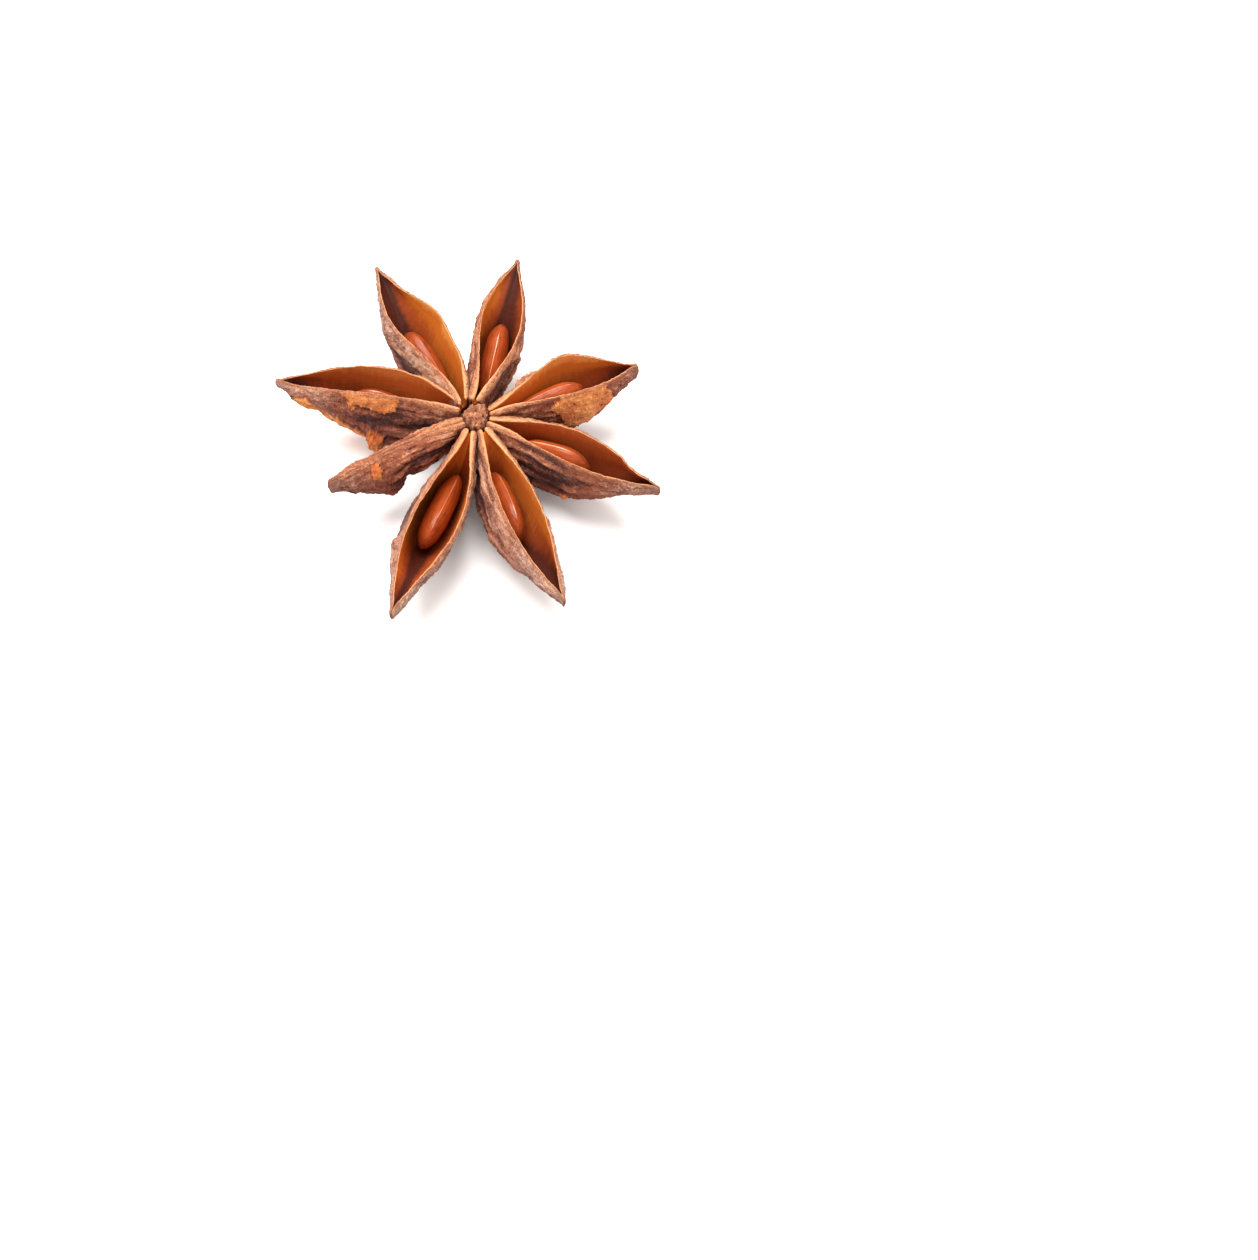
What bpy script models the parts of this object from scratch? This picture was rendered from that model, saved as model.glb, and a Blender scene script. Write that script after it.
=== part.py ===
# Star anise: a dried woody star of eight boat-shaped carpels on a short column,
# with a glossy seed in each of the seven open ones.
# The star rests on the keels of three carpels at z = 0, with its column upright along +Z.

import math
from dataclasses import dataclass

import bmesh
import bpy
from mathutils import Vector, noise

# All lengths below are in millimetres and angles in degrees; MM makes metres of them.
MM = 0.001

# Where the column stands, so that the star's box is centred on the origin.
COLUMN_X = 0.781
COLUMN_Y = 2.411

COLUMN_TOP = 7.5
COLUMN_RADIUS = 1.2
CORE_TOP = 6.3
CORE_RADIUS = 2.0
CORE_BOTTOM = 0.9
SCAR_RADIUS = 1.1
SCAR_DEPTH = 0.35

ROOT = 1.5              # where the carpels' rounded lip ends stand, from the column's axis
LIP_START = 7.6         # height of the lips there
LIP_RISE = 1.6          # power on the lips' climb to the tip
LIP_FULLNESS = 1.25     # power on the opening's swell: lower is fuller near the ends
SLIT_AT_ROOT = 0.07     # half the gap between the lips at the column, and at the tip
SLIT_AT_TIP = 0.02
BODY_WIDEST = 0.46      # share of the length where the body is widest
BODY_FULLNESS = 0.75
BODY_AT_ENDS = 0.2
BLEND = 6.0             # how tightly the outside follows the wider of lips and body
BELLY_AT = 0.26         # share of the length where the keel is deepest
ROOT_RISE = 0.16        # share of the depth that the keel rises at the column
WALL_AT_ROOT = 0.72
WALL_AT_TIP = 0.60
BEAK_FROM = 0.88        # share of the length where the walls thin to a beak
BEAK_THINNING = 0.5
KEEL_THICKNESS = 0.8    # wall below the hollow
KEEL_THINNING = 0.55    # share of it that is lost towards the tip
VALLEY_FROM = 0.55      # share of the length where the hollow starts to narrow to a valley
VALLEY_RUN = 0.37
ROUND_KEEL = 1.2        # power on the outside's lower curve, and how much it grows along the valley
SHARP_KEEL = 0.3
ROUND_FLOOR = 1.15      # the same for the hollow's floor
SHARP_FLOOR = 1.1
FLOOR_AT_ROOT = 0.08    # share of the hollow's depth left at the column
FLOOR_ROOT_RUN = 0.2    # share of the length over which it falls from there
FLOOR_AT_TIP = 0.25     # share of it left at the tip
FLOOR_TIP_RUN = 0.07
NOTCH_END = 0.46        # share of the length up to which a shrunken keel is cut away
NOTCH_EASE = 0.11
LOBE_RUN = 0.14         # share of the length that a lip's extra swell takes to either side
PIVOT = 0.35            # share of the depth below the lips about which a carpel leans
LEAN_SWELL = 0.8        # powers that move the lean's and the bend's middle along the carpel
BOW_SWELL = 1.3
RIM_CROWN = 0.14        # how far the middle of a lip stands above its edges
CROWDING = 0.37         # half width that a carpel has beside its neighbours, per radius
NOSE = 0.5              # solid point beyond the end of the hollow
NOSE_LIFT = 0.25        # how much that point turns up, and how far below the lips it starts

RINGS = 25
FIRST_RING = 0.08       # rings stand closer together near the column and the tip
WALL_STEPS = 7          # wall points from the keel up to each lip
HOLLOW_STEPS = 4

WAVE_PER_LENGTH = 7.0   # how many waves of seeded noise a carpel's length takes
WAVE_TURN = 0.37        # how far apart two carpels' noise lies, per degree
LIP_WAVE = 0.13         # height of the waves along the lips
WALL_BUMP = 0.18
WALL_STRETCH = 1.7      # how much shorter the wall's waves are
KEEL_RIDGE = 0.35       # how far the keel stands out below the rounded walls
KEEL_RAG = 0.6          # height of the torn teeth along it
KEEL_STRETCH = 2.3      # how much shorter the teeth are
KEEL_GAP = -0.4         # how far a gap between teeth goes in
FOLD = 0.30             # depth of the long fold below each lip, near the column
FOLD_AT = 5             # wall point that it runs along

SEED_RINGS = 9
SEED_SIDES = 16
SEED_GAP = 0.3          # between a seed and the wall beside or below it
SEED_THICKNESS = 3.0
SEED_DEPTH = 4.4
SEED_TILT = 0.45        # how much higher the seed's outer end lies than its middle
SEED_BLUNT = 0.12       # how much its ends are narrowed, and how much fuller its outer end is
SEED_EGG = 0.10
SEED_CHEEK = 1.15       # power that flattens its two sides

COLUMN_SIDES = 20
COLUMN_RIPPLE = 0.12    # unevenness of the column, per radius


@dataclass
class Carpel:
    name: str
    azimuth: float          # direction from the column, counterclockwise from +X
    length: float           # column's axis to the tip
    tip_height: float
    gape: float             # half the opening where it is widest
    widest: float           # share of the length where that is
    belly: float            # half width of the body
    depth: float            # lips to keel at the belly
    fall: float             # how long the keel stays deep towards the tip
    bow: float              # sideways bend, counterclockwise
    roll: float             # swing of the keel, counterclockwise
    tip_depth: float = 0.9  # lips to keel at the tip
    skew: float = 0.0       # how much further out the counterclockwise lip is widest
    lobe: float = 0.0       # extra swell of one lip, of the clockwise one where it is negative
    lobe_at: float = 0.6    # share of the length where that is
    root_shift: float = 0.0  # sideways place at the column, counterclockwise
    arch: float = 0.45      # rise of the lips between the column and the tip
    ragged: float = 1.0     # how torn its keel is
    notch: float = 0.0      # share of the depth that a shrunken keel lacks near the column
    seed_length: float = 6.8
    seed_at: float = 0.43   # share of the length where its middle lies
    seed_sink: float = 1.7  # its upper edge below the lips
    seed_shift: float = 0.0  # its place to the counterclockwise side of the hollow


CARPELS = (
    Carpel("1", 122.6, 16.8, 9.6, 1.45, 0.52, 2.05, 8.5, 1.10, 0.15, 12.0, tip_depth=1.2, skew=0.05,
           lobe=-0.75, lobe_at=0.63, root_shift=0.35, seed_length=7.4, seed_at=0.42, ragged=0.5),
    Carpel("2", 76.5, 15.3, 9.6, 1.60, 0.58, 1.85, 7.6, 1.10, 0.03, 8.0, ragged=0.8,
           seed_at=0.41, seed_shift=0.3),
    Carpel("3", 18.3, 15.0, 8.4, 1.62, 0.57, 2.05, 8.4, 1.15, 0.50, -8.0, tip_depth=2.1, arch=0.5,
           lobe=0.3, lobe_at=0.3, seed_length=7.6, seed_at=0.39, seed_sink=1.2),
    Carpel("4", -25.0, 17.8, 8.1, 1.38, 0.52, 2.05, 7.5, 1.10, 0.20, -6.0, tip_depth=1.5, skew=-0.03,
           ragged=0.3, seed_length=7.2, seed_at=0.375, seed_sink=1.0, seed_shift=0.1),
    Carpel("5", -67.5, 19.6, 7.3, 1.46, 0.53, 2.05, 7.4, 1.30, -0.38, -14.0, tip_depth=1.2, skew=0.03,
           seed_length=7.8, seed_at=0.365, ragged=0.4),
    Carpel("6", -109.4, 20.9, 7.4, 1.26, 0.50, 1.95, 8.2, 1.05, -0.13, -17.0, tip_depth=1.3,
           seed_length=8.4, seed_at=0.365, ragged=0.5),
    Carpel("7", -151.5, 14.4, 8.0, 0.00, 0.45, 1.35, 7.2, 1.50, 0.25, 8.0, tip_depth=1.9, arch=0.8,
           lobe=-0.4, lobe_at=0.8, notch=0.4, seed_length=0.0),
    Carpel("8", 170.5, 17.9, 8.8, 1.42, 0.49, 2.05, 7.8, 1.56, -1.0, 13.0, tip_depth=1.5, skew=0.06,
           root_shift=-0.55, ragged=1.5, seed_sink=1.6),
)

PERICARP_COLOUR = (0.31, 0.135, 0.072, 1.0)
SEED_COLOUR = (0.42, 0.095, 0.035, 1.0)


def smooth(x):
    """Ease from 0 to 1 as x goes from 0 to 1."""
    x = min(max(x, 0.0), 1.0)
    return x * x * (3.0 - 2.0 * x)


def swell(s, peak, power):
    """0 at both ends of a carpel and 1 where s is peak."""
    return math.sin(math.pi * s ** (math.log(0.5) / math.log(peak))) ** power if 0.0 < s < 1.0 else 0.0


def narrowing(s):
    """0 where the hollow is round and 1 where it is a valley."""
    return smooth((s - VALLEY_FROM) / VALLEY_RUN)


def waves(carpel, s, seed):
    """Seeded noise along one carpel, about -1 to 1."""
    return noise.fractal(Vector((s * WAVE_PER_LENGTH, carpel.azimuth * WAVE_TURN, seed)), 0.7, 2.1, 3)


@dataclass
class Section:
    """One side of a carpel's cross-section at one place along it."""
    lip: float              # half the opening
    half_width: float
    wall: float
    depth: float
    top: float              # height of the lips
    hollow: float           # depth of the hollow below the lips

    @property
    def lip_angle(self):
        return math.acos(min((self.lip + self.wall) / self.half_width, 1.0))

    @property
    def half_height(self):
        return self.depth / (1.0 + math.sin(self.lip_angle))

    @property
    def shoulder(self):
        """Height where the section is widest."""
        return self.top - self.half_height * math.sin(self.lip_angle)

    @property
    def above(self):
        """Height of the hollow's part above its widest place, less where the hollow is shallow."""
        return (self.top - self.shoulder) * min(1.0, 1.2 * self.hollow / self.depth)


def section(carpel, s, side):
    radius = ROOT + (carpel.length - ROOT) * s
    limit = CROWDING * radius
    lip = carpel.gape * swell(s, carpel.widest + side * carpel.skew, LIP_FULLNESS)
    lip += SLIT_AT_ROOT + (SLIT_AT_TIP - SLIT_AT_ROOT) * s
    lip += max(side * carpel.lobe, 0.0) * math.exp(-((s - carpel.lobe_at) / LOBE_RUN) ** 2)
    wall = min(WALL_AT_ROOT + (WALL_AT_TIP - WALL_AT_ROOT) * s, limit - lip)
    wall *= 1.0 - BEAK_THINNING * smooth((s - BEAK_FROM) / (1.0 - BEAK_FROM))
    rim = lip + wall
    body = min(carpel.belly * swell(s, BODY_WIDEST, BODY_FULLNESS) + BODY_AT_ENDS, limit)
    half_width = (rim ** BLEND + body ** BLEND) ** (1 / BLEND) + 0.02
    outward = max(s - BELLY_AT, 0.0) / (1.0 - BELLY_AT)
    inward = max(BELLY_AT - s, 0.0) / BELLY_AT
    loss = 1.0 - carpel.tip_depth / carpel.depth
    rise = loss / 2 * (1.0 - math.cos(math.pi * outward ** carpel.fall)) + ROOT_RISE * inward ** 2
    notch = carpel.notch * smooth(s / NOTCH_EASE) * (1.0 - smooth((s - NOTCH_END) / NOTCH_EASE))
    depth = carpel.depth * (1.0 - rise) * (1.0 - notch)
    top = LIP_START + (carpel.tip_height - LIP_START) * s ** LIP_RISE
    top += carpel.arch * math.sin(math.pi * min(s * 1.1, 1.0))
    top += LIP_WAVE * waves(carpel, s, 3.0 + side) * smooth(s * 4.0)
    keel = KEEL_THICKNESS * (1.0 - KEEL_THINNING * narrowing(s))
    fade = FLOOR_AT_ROOT + (1.0 - FLOOR_AT_ROOT) * smooth(s / FLOOR_ROOT_RUN)
    fade *= 1.0 - (1.0 - FLOOR_AT_TIP) * smooth(1.0 - (1.0 - s) / FLOOR_TIP_RUN)
    return Section(lip, half_width, wall, depth, top, (depth - keel) * fade)


def outer_point(carpel, s, t):
    """Point of the outside, t = -1 at the clockwise lip, 0 at the keel, 1 at the other lip."""
    cut = section(carpel, s, math.copysign(1.0, t))
    angle = -math.pi / 2 + abs(t) * (cut.lip_angle + math.pi / 2)
    power = ROUND_KEEL + SHARP_KEEL * narrowing(s) if angle < 0.0 else 1.0
    across = cut.half_width * max(math.cos(angle), 0.0) ** power
    up = cut.shoulder + cut.half_height * math.sin(angle)
    low = 1.0 - smooth(abs(t) * WALL_STEPS / 2.0)
    ridge = KEEL_RIDGE + KEEL_RAG * carpel.ragged * max(waves(carpel, s * KEEL_STRETCH, 11.0), KEEL_GAP)
    ridge *= smooth(s * 5.0) * smooth((1.0 - s) * 6.0)
    bump = WALL_BUMP * waves(carpel, s * WALL_STRETCH + t, 23.0) * smooth(s * 4.0) * (1.0 - abs(t) ** 3)
    if round(abs(t) * WALL_STEPS) == FOLD_AT:
        bump -= FOLD * smooth((s - 0.04) / 0.10) * (1.0 - smooth((s - 0.35) / 0.35))
    return math.copysign(across + bump * (1.0 - low), t) if t else 0.0, up - ridge * low


def hollow_point(carpel, s, t):
    """Point of the inside, with t as for the outside."""
    cut = section(carpel, s, math.copysign(1.0, t))
    half = cut.half_width - cut.wall
    lip = min(cut.lip, half * 0.999)
    lip_angle = math.acos(lip / half)
    angle = -math.pi / 2 + abs(t) * (lip_angle + math.pi / 2)
    power = ROUND_FLOOR + SHARP_FLOOR * narrowing(s) if angle < 0.0 else 1.0
    across = half * max(math.cos(angle), 0.0) ** power
    above = cut.above
    if angle < 0.0:
        up = cut.top - above + (cut.hollow - above) * math.sin(angle)
    else:
        up = cut.top - above + above * math.sin(angle) / math.sin(lip_angle)
    return math.copysign(across, t) if t else 0.0, up


def stand(carpel, s, across, up):
    """Turn a point of a carpel's cross-section into a place in the star."""
    azimuth = math.radians(carpel.azimuth)
    outward = Vector((math.cos(azimuth), math.sin(azimuth), 0.0))
    left = Vector((-math.sin(azimuth), math.cos(azimuth), 0.0))
    middle = section(carpel, s, 1.0)
    pivot = middle.top - PIVOT * middle.depth
    roll = math.radians(carpel.roll) * math.sin(math.pi * s ** LEAN_SWELL)
    turned = across * math.cos(roll) - (up - pivot) * math.sin(roll)
    height = across * math.sin(roll) + (up - pivot) * math.cos(roll) + pivot
    bow = carpel.bow * math.sin(math.pi * s ** BOW_SWELL) + carpel.root_shift * (1.0 - s) ** 2
    radius = ROOT + (carpel.length - ROOT) * s
    column = Vector((COLUMN_X, COLUMN_Y, 0.0))
    return column + outward * radius + left * (turned + bow) + Vector((0.0, 0.0, max(height, 0.0)))


def ring(carpel, s):
    """Closed loop round one carpel: outside, one lip's crown, inside, the other lip's crown."""
    steps = range(-WALL_STEPS, WALL_STEPS + 1)
    outside = [outer_point(carpel, s, i / WALL_STEPS) for i in steps]
    if carpel.gape:
        steps = range(HOLLOW_STEPS, -HOLLOW_STEPS - 1, -1)
        inside = [hollow_point(carpel, s, i / HOLLOW_STEPS) for i in steps]
    else:
        seam = section(carpel, s, 1.0)
        inside = [(0.0, seam.top - 0.5 * RIM_CROWN)]
    crowns = []
    for edge, inner in ((outside[-1], inside[0]), (outside[0], inside[-1])):
        crowns.append(((edge[0] + inner[0]) / 2, (edge[1] + inner[1]) / 2 + RIM_CROWN))
    loop = outside + [crowns[0]] + inside + [crowns[1]]
    return [stand(carpel, s, across, up) for across, up in loop]


def new_object(name, mesh_builder):
    """Make an object from a bmesh, with faces out."""
    bmesh.ops.recalc_face_normals(mesh_builder, faces=mesh_builder.faces)
    mesh = bpy.data.meshes.new(name)
    mesh_builder.to_mesh(mesh)
    mesh_builder.free()
    thing = bpy.data.objects.new(name, mesh)
    bpy.context.scene.collection.objects.link(thing)
    return thing


def loft(rings, ends):
    """Skin closed loops of equal length; each end is None for a flat cap or a point."""
    builder = bmesh.new()
    loops = [[builder.verts.new(point * MM) for point in points] for points in rings]
    count = len(loops[0])
    for first, second in zip(loops, loops[1:]):
        for i in range(count):
            j = (i + 1) % count
            builder.faces.new((first[i], first[j], second[j], second[i]))
    for loop, end in ((loops[0], ends[0]), (loops[-1], ends[1])):
        if end is None:
            builder.faces.new(loop)
            continue
        point = builder.verts.new(end * MM)
        for i in range(count):
            builder.faces.new((loop[i], loop[(i + 1) % count], point))
    return builder


def build_carpel(carpel):
    turns = [FIRST_RING + (1.0 - FIRST_RING) * i / (RINGS - 1) for i in range(RINGS)]
    places = [0.5 - 0.5 * math.cos(math.pi * turn) for turn in turns]
    places = [(s - places[0]) / (places[-1] - places[0]) for s in places]
    rings = [ring(carpel, s) for s in places]
    tip = section(carpel, 1.0, 1.0)
    nose = stand(carpel, 1.0, 0.0, tip.top - NOSE_LIFT * tip.depth)
    azimuth = math.radians(carpel.azimuth)
    direction = Vector((math.cos(azimuth), math.sin(azimuth), NOSE_LIFT))
    return new_object(f"carpel_{carpel.name}", loft(rings, (None, nose + direction * NOSE)))


def build_column():
    """Core that the carpels grow from, with the column's rough top and the stalk's scar below."""
    outline = (
        (SCAR_RADIUS * 0.8, CORE_BOTTOM + SCAR_DEPTH), (SCAR_RADIUS, CORE_BOTTOM),
        (CORE_RADIUS, CORE_BOTTOM + 0.4), (CORE_RADIUS, CORE_TOP),
        (COLUMN_RADIUS, CORE_TOP + 0.1), (COLUMN_RADIUS, COLUMN_TOP - 0.15),
        (COLUMN_RADIUS * 0.8, COLUMN_TOP), (COLUMN_RADIUS * 0.35, COLUMN_TOP - 0.1),
    )
    rings = []
    for radius, height in outline:
        points = []
        for i in range(COLUMN_SIDES):
            turn = math.tau * i / COLUMN_SIDES
            spot = Vector((math.cos(turn), math.sin(turn), 0.0))
            ripple = 1.0 + COLUMN_RIPPLE * noise.noise(spot * 1.9 + Vector((0.0, 0.0, height * 0.3)))
            points.append(Vector((COLUMN_X, COLUMN_Y, height)) + spot * radius * ripple)
        rings.append(points)
    return new_object("column", loft(rings, (None, None)))


def build_pericarp(material):
    """Join the column and the carpels into the one grown body."""
    body = build_column()
    carpels = bpy.data.collections.new("carpels")
    for carpel in CARPELS:
        thing = build_carpel(carpel)
        bpy.context.scene.collection.objects.unlink(thing)
        carpels.objects.link(thing)
    union = body.modifiers.new("join", "BOOLEAN")
    union.operation = "UNION"
    union.operand_type = "COLLECTION"
    union.collection = carpels
    union.solver = "EXACT"
    bpy.context.scene.collection.children.link(carpels)
    bpy.context.view_layer.update()
    joined = bpy.data.meshes.new_from_object(body.evaluated_get(bpy.context.evaluated_depsgraph_get()))
    body.modifiers.clear()
    body.data = joined
    body.name = joined.name = "pericarp"
    for thing in list(carpels.objects):
        bpy.data.objects.remove(thing)
    bpy.data.collections.remove(carpels)
    joined.materials.clear()
    joined.materials.append(material)
    joined.shade_smooth()
    joined.set_sharp_from_angle(angle=math.radians(40))
    return body


def hollow_half_width(carpel, s, drop):
    """Half width of the hollow at a depth below the lips, 0 under its floor."""
    cut = section(carpel, s, 1.0)
    half = cut.half_width - cut.wall
    above = cut.above
    if drop <= above:
        return half
    sine = (drop - above) / (cut.hollow - above)
    power = (ROUND_FLOOR + SHARP_FLOOR * narrowing(s)) / 2
    return half * (1.0 - sine ** 2) ** power if sine < 1.0 else 0.0


def seed_point(carpel, along, turn, half_depth):
    """Point of the seed's skin at along = -1 to 1, narrowed where the hollow leaves less room."""
    s = carpel.seed_at + along * carpel.seed_length / 2 / (carpel.length - ROOT)
    girth = math.sqrt(1.0 - along ** 2) * (1.0 - SEED_BLUNT * along ** 2 + SEED_EGG * along)
    drop = carpel.seed_sink + half_depth * (1.0 - girth * math.sin(turn)) - SEED_TILT * along
    side = math.copysign(1.0, math.cos(turn))
    shift = carpel.seed_shift * girth
    room = hollow_half_width(carpel, s, drop + SEED_GAP) - SEED_GAP - side * shift
    across = SEED_THICKNESS / 2 * girth * abs(math.cos(turn)) ** SEED_CHEEK
    if across > 0.0:
        across = (across ** -4 + max(room, 0.02) ** -4) ** -0.25
    return s, shift + side * across, drop


def build_seed(carpel, material):
    """Flattened egg standing on edge in its carpel, as deep as the hollow lets it be."""
    stations = [-math.cos(math.pi * i / (SEED_RINGS + 1)) for i in range(1, SEED_RINGS + 1)]
    half_depth = SEED_DEPTH / 2
    while True:
        lowest = [seed_point(carpel, along, -math.pi / 2, half_depth) for along in stations]
        if all(drop + SEED_GAP < section(carpel, s, 1.0).hollow for s, _, drop in lowest):
            break
        half_depth *= 0.98
    rings = []
    for along in stations:
        points = []
        for j in range(SEED_SIDES):
            s, across, drop = seed_point(carpel, along, math.tau * j / SEED_SIDES, half_depth)
            points.append(stand(carpel, s, across, section(carpel, s, 1.0).top - drop))
        rings.append(points)
    ends = []
    for along in (-1.0, 1.0):
        s, across, drop = seed_point(carpel, along, 0.0, half_depth)
        ends.append(stand(carpel, s, across, section(carpel, s, 1.0).top - drop))
    seed = new_object(f"seed_{carpel.name}", loft(rings, ends))
    seed.data.materials.append(material)
    seed.data.shade_smooth()
    return seed


def make_material(name, colour, roughness):
    material = bpy.data.materials.new(name)
    material.use_nodes = True
    shader = material.node_tree.nodes["Principled BSDF"]
    shader.inputs["Base Color"].default_value = colour
    shader.inputs["Roughness"].default_value = roughness
    shader.inputs["Metallic"].default_value = 0.0
    return material


def main():
    for thing in list(bpy.data.objects):
        bpy.data.objects.remove(thing)
    build_pericarp(make_material("dry_woody_husk", PERICARP_COLOUR, 0.8))
    for carpel in CARPELS:
        if carpel.seed_length:
            build_seed(carpel, make_material(f"seed_{carpel.name}_coat", SEED_COLOUR, 0.25))


main()
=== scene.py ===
import math

import bmesh
import bpy
import numpy as np
from mathutils import Matrix, Vector, noise


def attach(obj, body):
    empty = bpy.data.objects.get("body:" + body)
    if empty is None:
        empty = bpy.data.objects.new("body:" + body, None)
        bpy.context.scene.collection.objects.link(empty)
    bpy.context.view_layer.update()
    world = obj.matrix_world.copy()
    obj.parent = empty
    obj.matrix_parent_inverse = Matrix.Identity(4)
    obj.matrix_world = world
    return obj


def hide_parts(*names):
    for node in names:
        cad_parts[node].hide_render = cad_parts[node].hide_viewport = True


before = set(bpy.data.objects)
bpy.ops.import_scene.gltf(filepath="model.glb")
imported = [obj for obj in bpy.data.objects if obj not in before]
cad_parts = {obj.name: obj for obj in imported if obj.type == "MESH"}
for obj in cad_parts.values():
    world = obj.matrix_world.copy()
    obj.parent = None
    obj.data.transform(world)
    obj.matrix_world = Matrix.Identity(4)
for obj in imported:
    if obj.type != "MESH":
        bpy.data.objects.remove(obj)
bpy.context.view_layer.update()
print("frame loaded:", len(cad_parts), "nodes")

mm = 0.001
pi = math.pi


# Values and graphs: what the node trees below are written with

def operator(operation, turned=False):
    # a method of Value that adds one Math node, with its two sides turned round where asked
    def apply(self, *other):
        items = (*other, self) if turned else (self, *other)
        return self.graph.math(operation, *items)
    return apply


class Value:
    # one socket carrying a number; arithmetic on it adds Math nodes to its tree
    def __init__(self, graph, socket):
        self.graph = graph
        self.socket = socket

    __add__ = operator("ADD")
    __radd__ = operator("ADD", turned=True)
    __sub__ = operator("SUBTRACT")
    __rsub__ = operator("SUBTRACT", turned=True)
    __mul__ = operator("MULTIPLY")
    __rmul__ = operator("MULTIPLY", turned=True)
    __truediv__ = operator("DIVIDE")
    __rtruediv__ = operator("DIVIDE", turned=True)
    __pow__ = operator("POWER")
    __abs__ = operator("ABSOLUTE")
    __gt__ = operator("GREATER_THAN")

    def __neg__(self):
        return self * -1.0


class Graph:
    # a node tree, with one method for any node and a few short ones for sums
    def __init__(self, tree):
        self.tree = tree

    def plug(self, item, socket):
        if isinstance(item, Value):
            self.tree.links.new(item.socket, socket)
        elif isinstance(item, bpy.types.NodeSocket):
            self.tree.links.new(item, socket)
        elif item is not None:
            socket.default_value = item

    def node(self, kind, settings=None, sockets=None):
        made = self.tree.nodes.new(kind)
        for name, setting in (settings or {}).items():
            setattr(made, name, setting)
        for key, item in (sockets or {}).items():
            self.plug(item, made.inputs[key])
        return made

    def math(self, operation, *items):
        made = self.node("ShaderNodeMath", {"operation": operation}, dict(enumerate(items)))
        return Value(self, made.outputs[0])

    def sine(self, x):
        return self.math("SINE", x)

    def cosine(self, x):
        return self.math("COSINE", x)

    def least(self, a, b):
        return self.math("MINIMUM", a, b)

    def most(self, a, b):
        return self.math("MAXIMUM", a, b)

    def held(self, x):
        # x kept between 0 and 1
        return self.most(self.least(x, 1.0), 0.0)

    def blend(self, share, a, b):
        # number a where share is 0, b where it is 1
        made = self.node("ShaderNodeMix", {"data_type": "FLOAT", "clamp_factor": False},
                         {0: share, 2: a, 3: b})
        return Value(self, made.outputs[0])

    def ease(self, x, low=0.0, high=1.0):
        # smooth step of x from low to high
        made = self.node("ShaderNodeMapRange", {"interpolation_type": "SMOOTHSTEP"},
                         {"Value": x, "From Min": low, "From Max": high})
        return Value(self, made.outputs[0])

    def span(self, x, start, full, fade, end):
        # rises from start to full and falls from fade to end
        return self.ease(x, start, full) * (1.0 - self.ease(x, fade, end))

    def hump(self, x, middle, width, power=2.0):
        # 1 at the middle and 0 well away from it; a higher power makes it squarer
        return self.math("EXPONENT", -((x - middle) / width) ** power)

    def arc(self, x, top):
        # half a sine wave over 0 to 1, with its top moved to the given place
        power = math.log(0.5) / self.math("LOGARITHM", top, math.e)
        return self.sine(x ** power * pi)

    def xyz(self, x, y, z):
        return self.node("ShaderNodeCombineXYZ", None, {0: x, 1: y, 2: z}).outputs[0]

    def parts(self, vector):
        made = self.node("ShaderNodeSeparateXYZ", None, {0: vector})
        return [Value(self, socket) for socket in made.outputs]

    def vector(self, operation, *items):
        made = self.node("ShaderNodeVectorMath", {"operation": operation}, dict(enumerate(items)))
        return made.outputs[0]

    def scaled(self, vector, factor):
        made = self.node("ShaderNodeVectorMath", {"operation": "SCALE"}, {0: vector, "Scale": factor})
        return made.outputs[0]

    def grainNoise(self, vector, scale, detail=3.0, rough=0.55, warp=0.0, stretch=2.6):
        # seeded noise about 0, mostly within -1 to 1
        made = self.node("ShaderNodeTexNoise", {"noise_dimensions": "3D"}, {
            "Vector": vector, "Scale": scale, "Detail": detail, "Roughness": rough, "Distortion": warp})
        return (Value(self, made.outputs[0]) - 0.5) * stretch

    # geometry

    def position(self):
        return self.parts(self.node("GeometryNodeInputPosition").outputs[0])

    def grid(self, look):
        # a grid of points, and how far along and round it each one lies, from 0 to 1
        made = self.node("GeometryNodeMeshGrid", None, {
            "Size X": 1.0, "Size Y": 1.0,
            "Vertices X": look["alongSteps"], "Vertices Y": look["roundSteps"]})
        x, y, _ = self.position()
        return made.outputs["Mesh"], x + 0.5, y + 0.5

    def store(self, geometry, fields):
        # keep fields on the points, for the relief and the paint to read
        for name, field in fields.items():
            kind = "FLOAT" if isinstance(field, Value) else "FLOAT_VECTOR"
            made = self.node("GeometryNodeStoreNamedAttribute", {"data_type": kind, "domain": "POINT"},
                             {"Geometry": geometry, "Name": name, "Value": field})
            geometry = made.outputs[0]
        return geometry

    def kept(self, name, kind="FLOAT"):
        made = self.node("GeometryNodeInputNamedAttribute", {"data_type": kind}, {"Name": name})
        return Value(self, made.outputs[0]) if kind == "FLOAT" else made.outputs[0]

    def placed(self, geometry, position):
        made = self.node("GeometryNodeSetPosition", None, {"Geometry": geometry, "Position": position})
        return made.outputs[0]

    def raised(self, geometry, height):
        # moved along its normals by a height
        offset = self.scaled(self.node("GeometryNodeInputNormal").outputs[0], height)
        return self.node("GeometryNodeSetPosition", None, {"Geometry": geometry, "Offset": offset}).outputs[0]

    def merged(self, geometry, distance):
        made = self.node("GeometryNodeMergeByDistance", None, {"Geometry": geometry, "Distance": distance})
        return made.outputs[0]

    def finish(self, geometry):
        # the end of every geometry tree
        realized = self.node("GeometryNodeRealizeInstances", None, {"Geometry": geometry})
        start = next(node for node in self.tree.nodes if node.type == "GROUP_INPUT")
        painted = self.node("GeometryNodeSetMaterial", None,
                            {"Geometry": realized.outputs[0], "Material": start.outputs["finish"]})
        self.plug(painted.outputs[0], self.node("NodeGroupOutput").inputs[0])

    # materials

    def attribute(self, name, output="Fac"):
        made = self.node("ShaderNodeAttribute", {"attribute_name": name})
        return Value(self, made.outputs[output]) if output == "Fac" else made.outputs[output]

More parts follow.
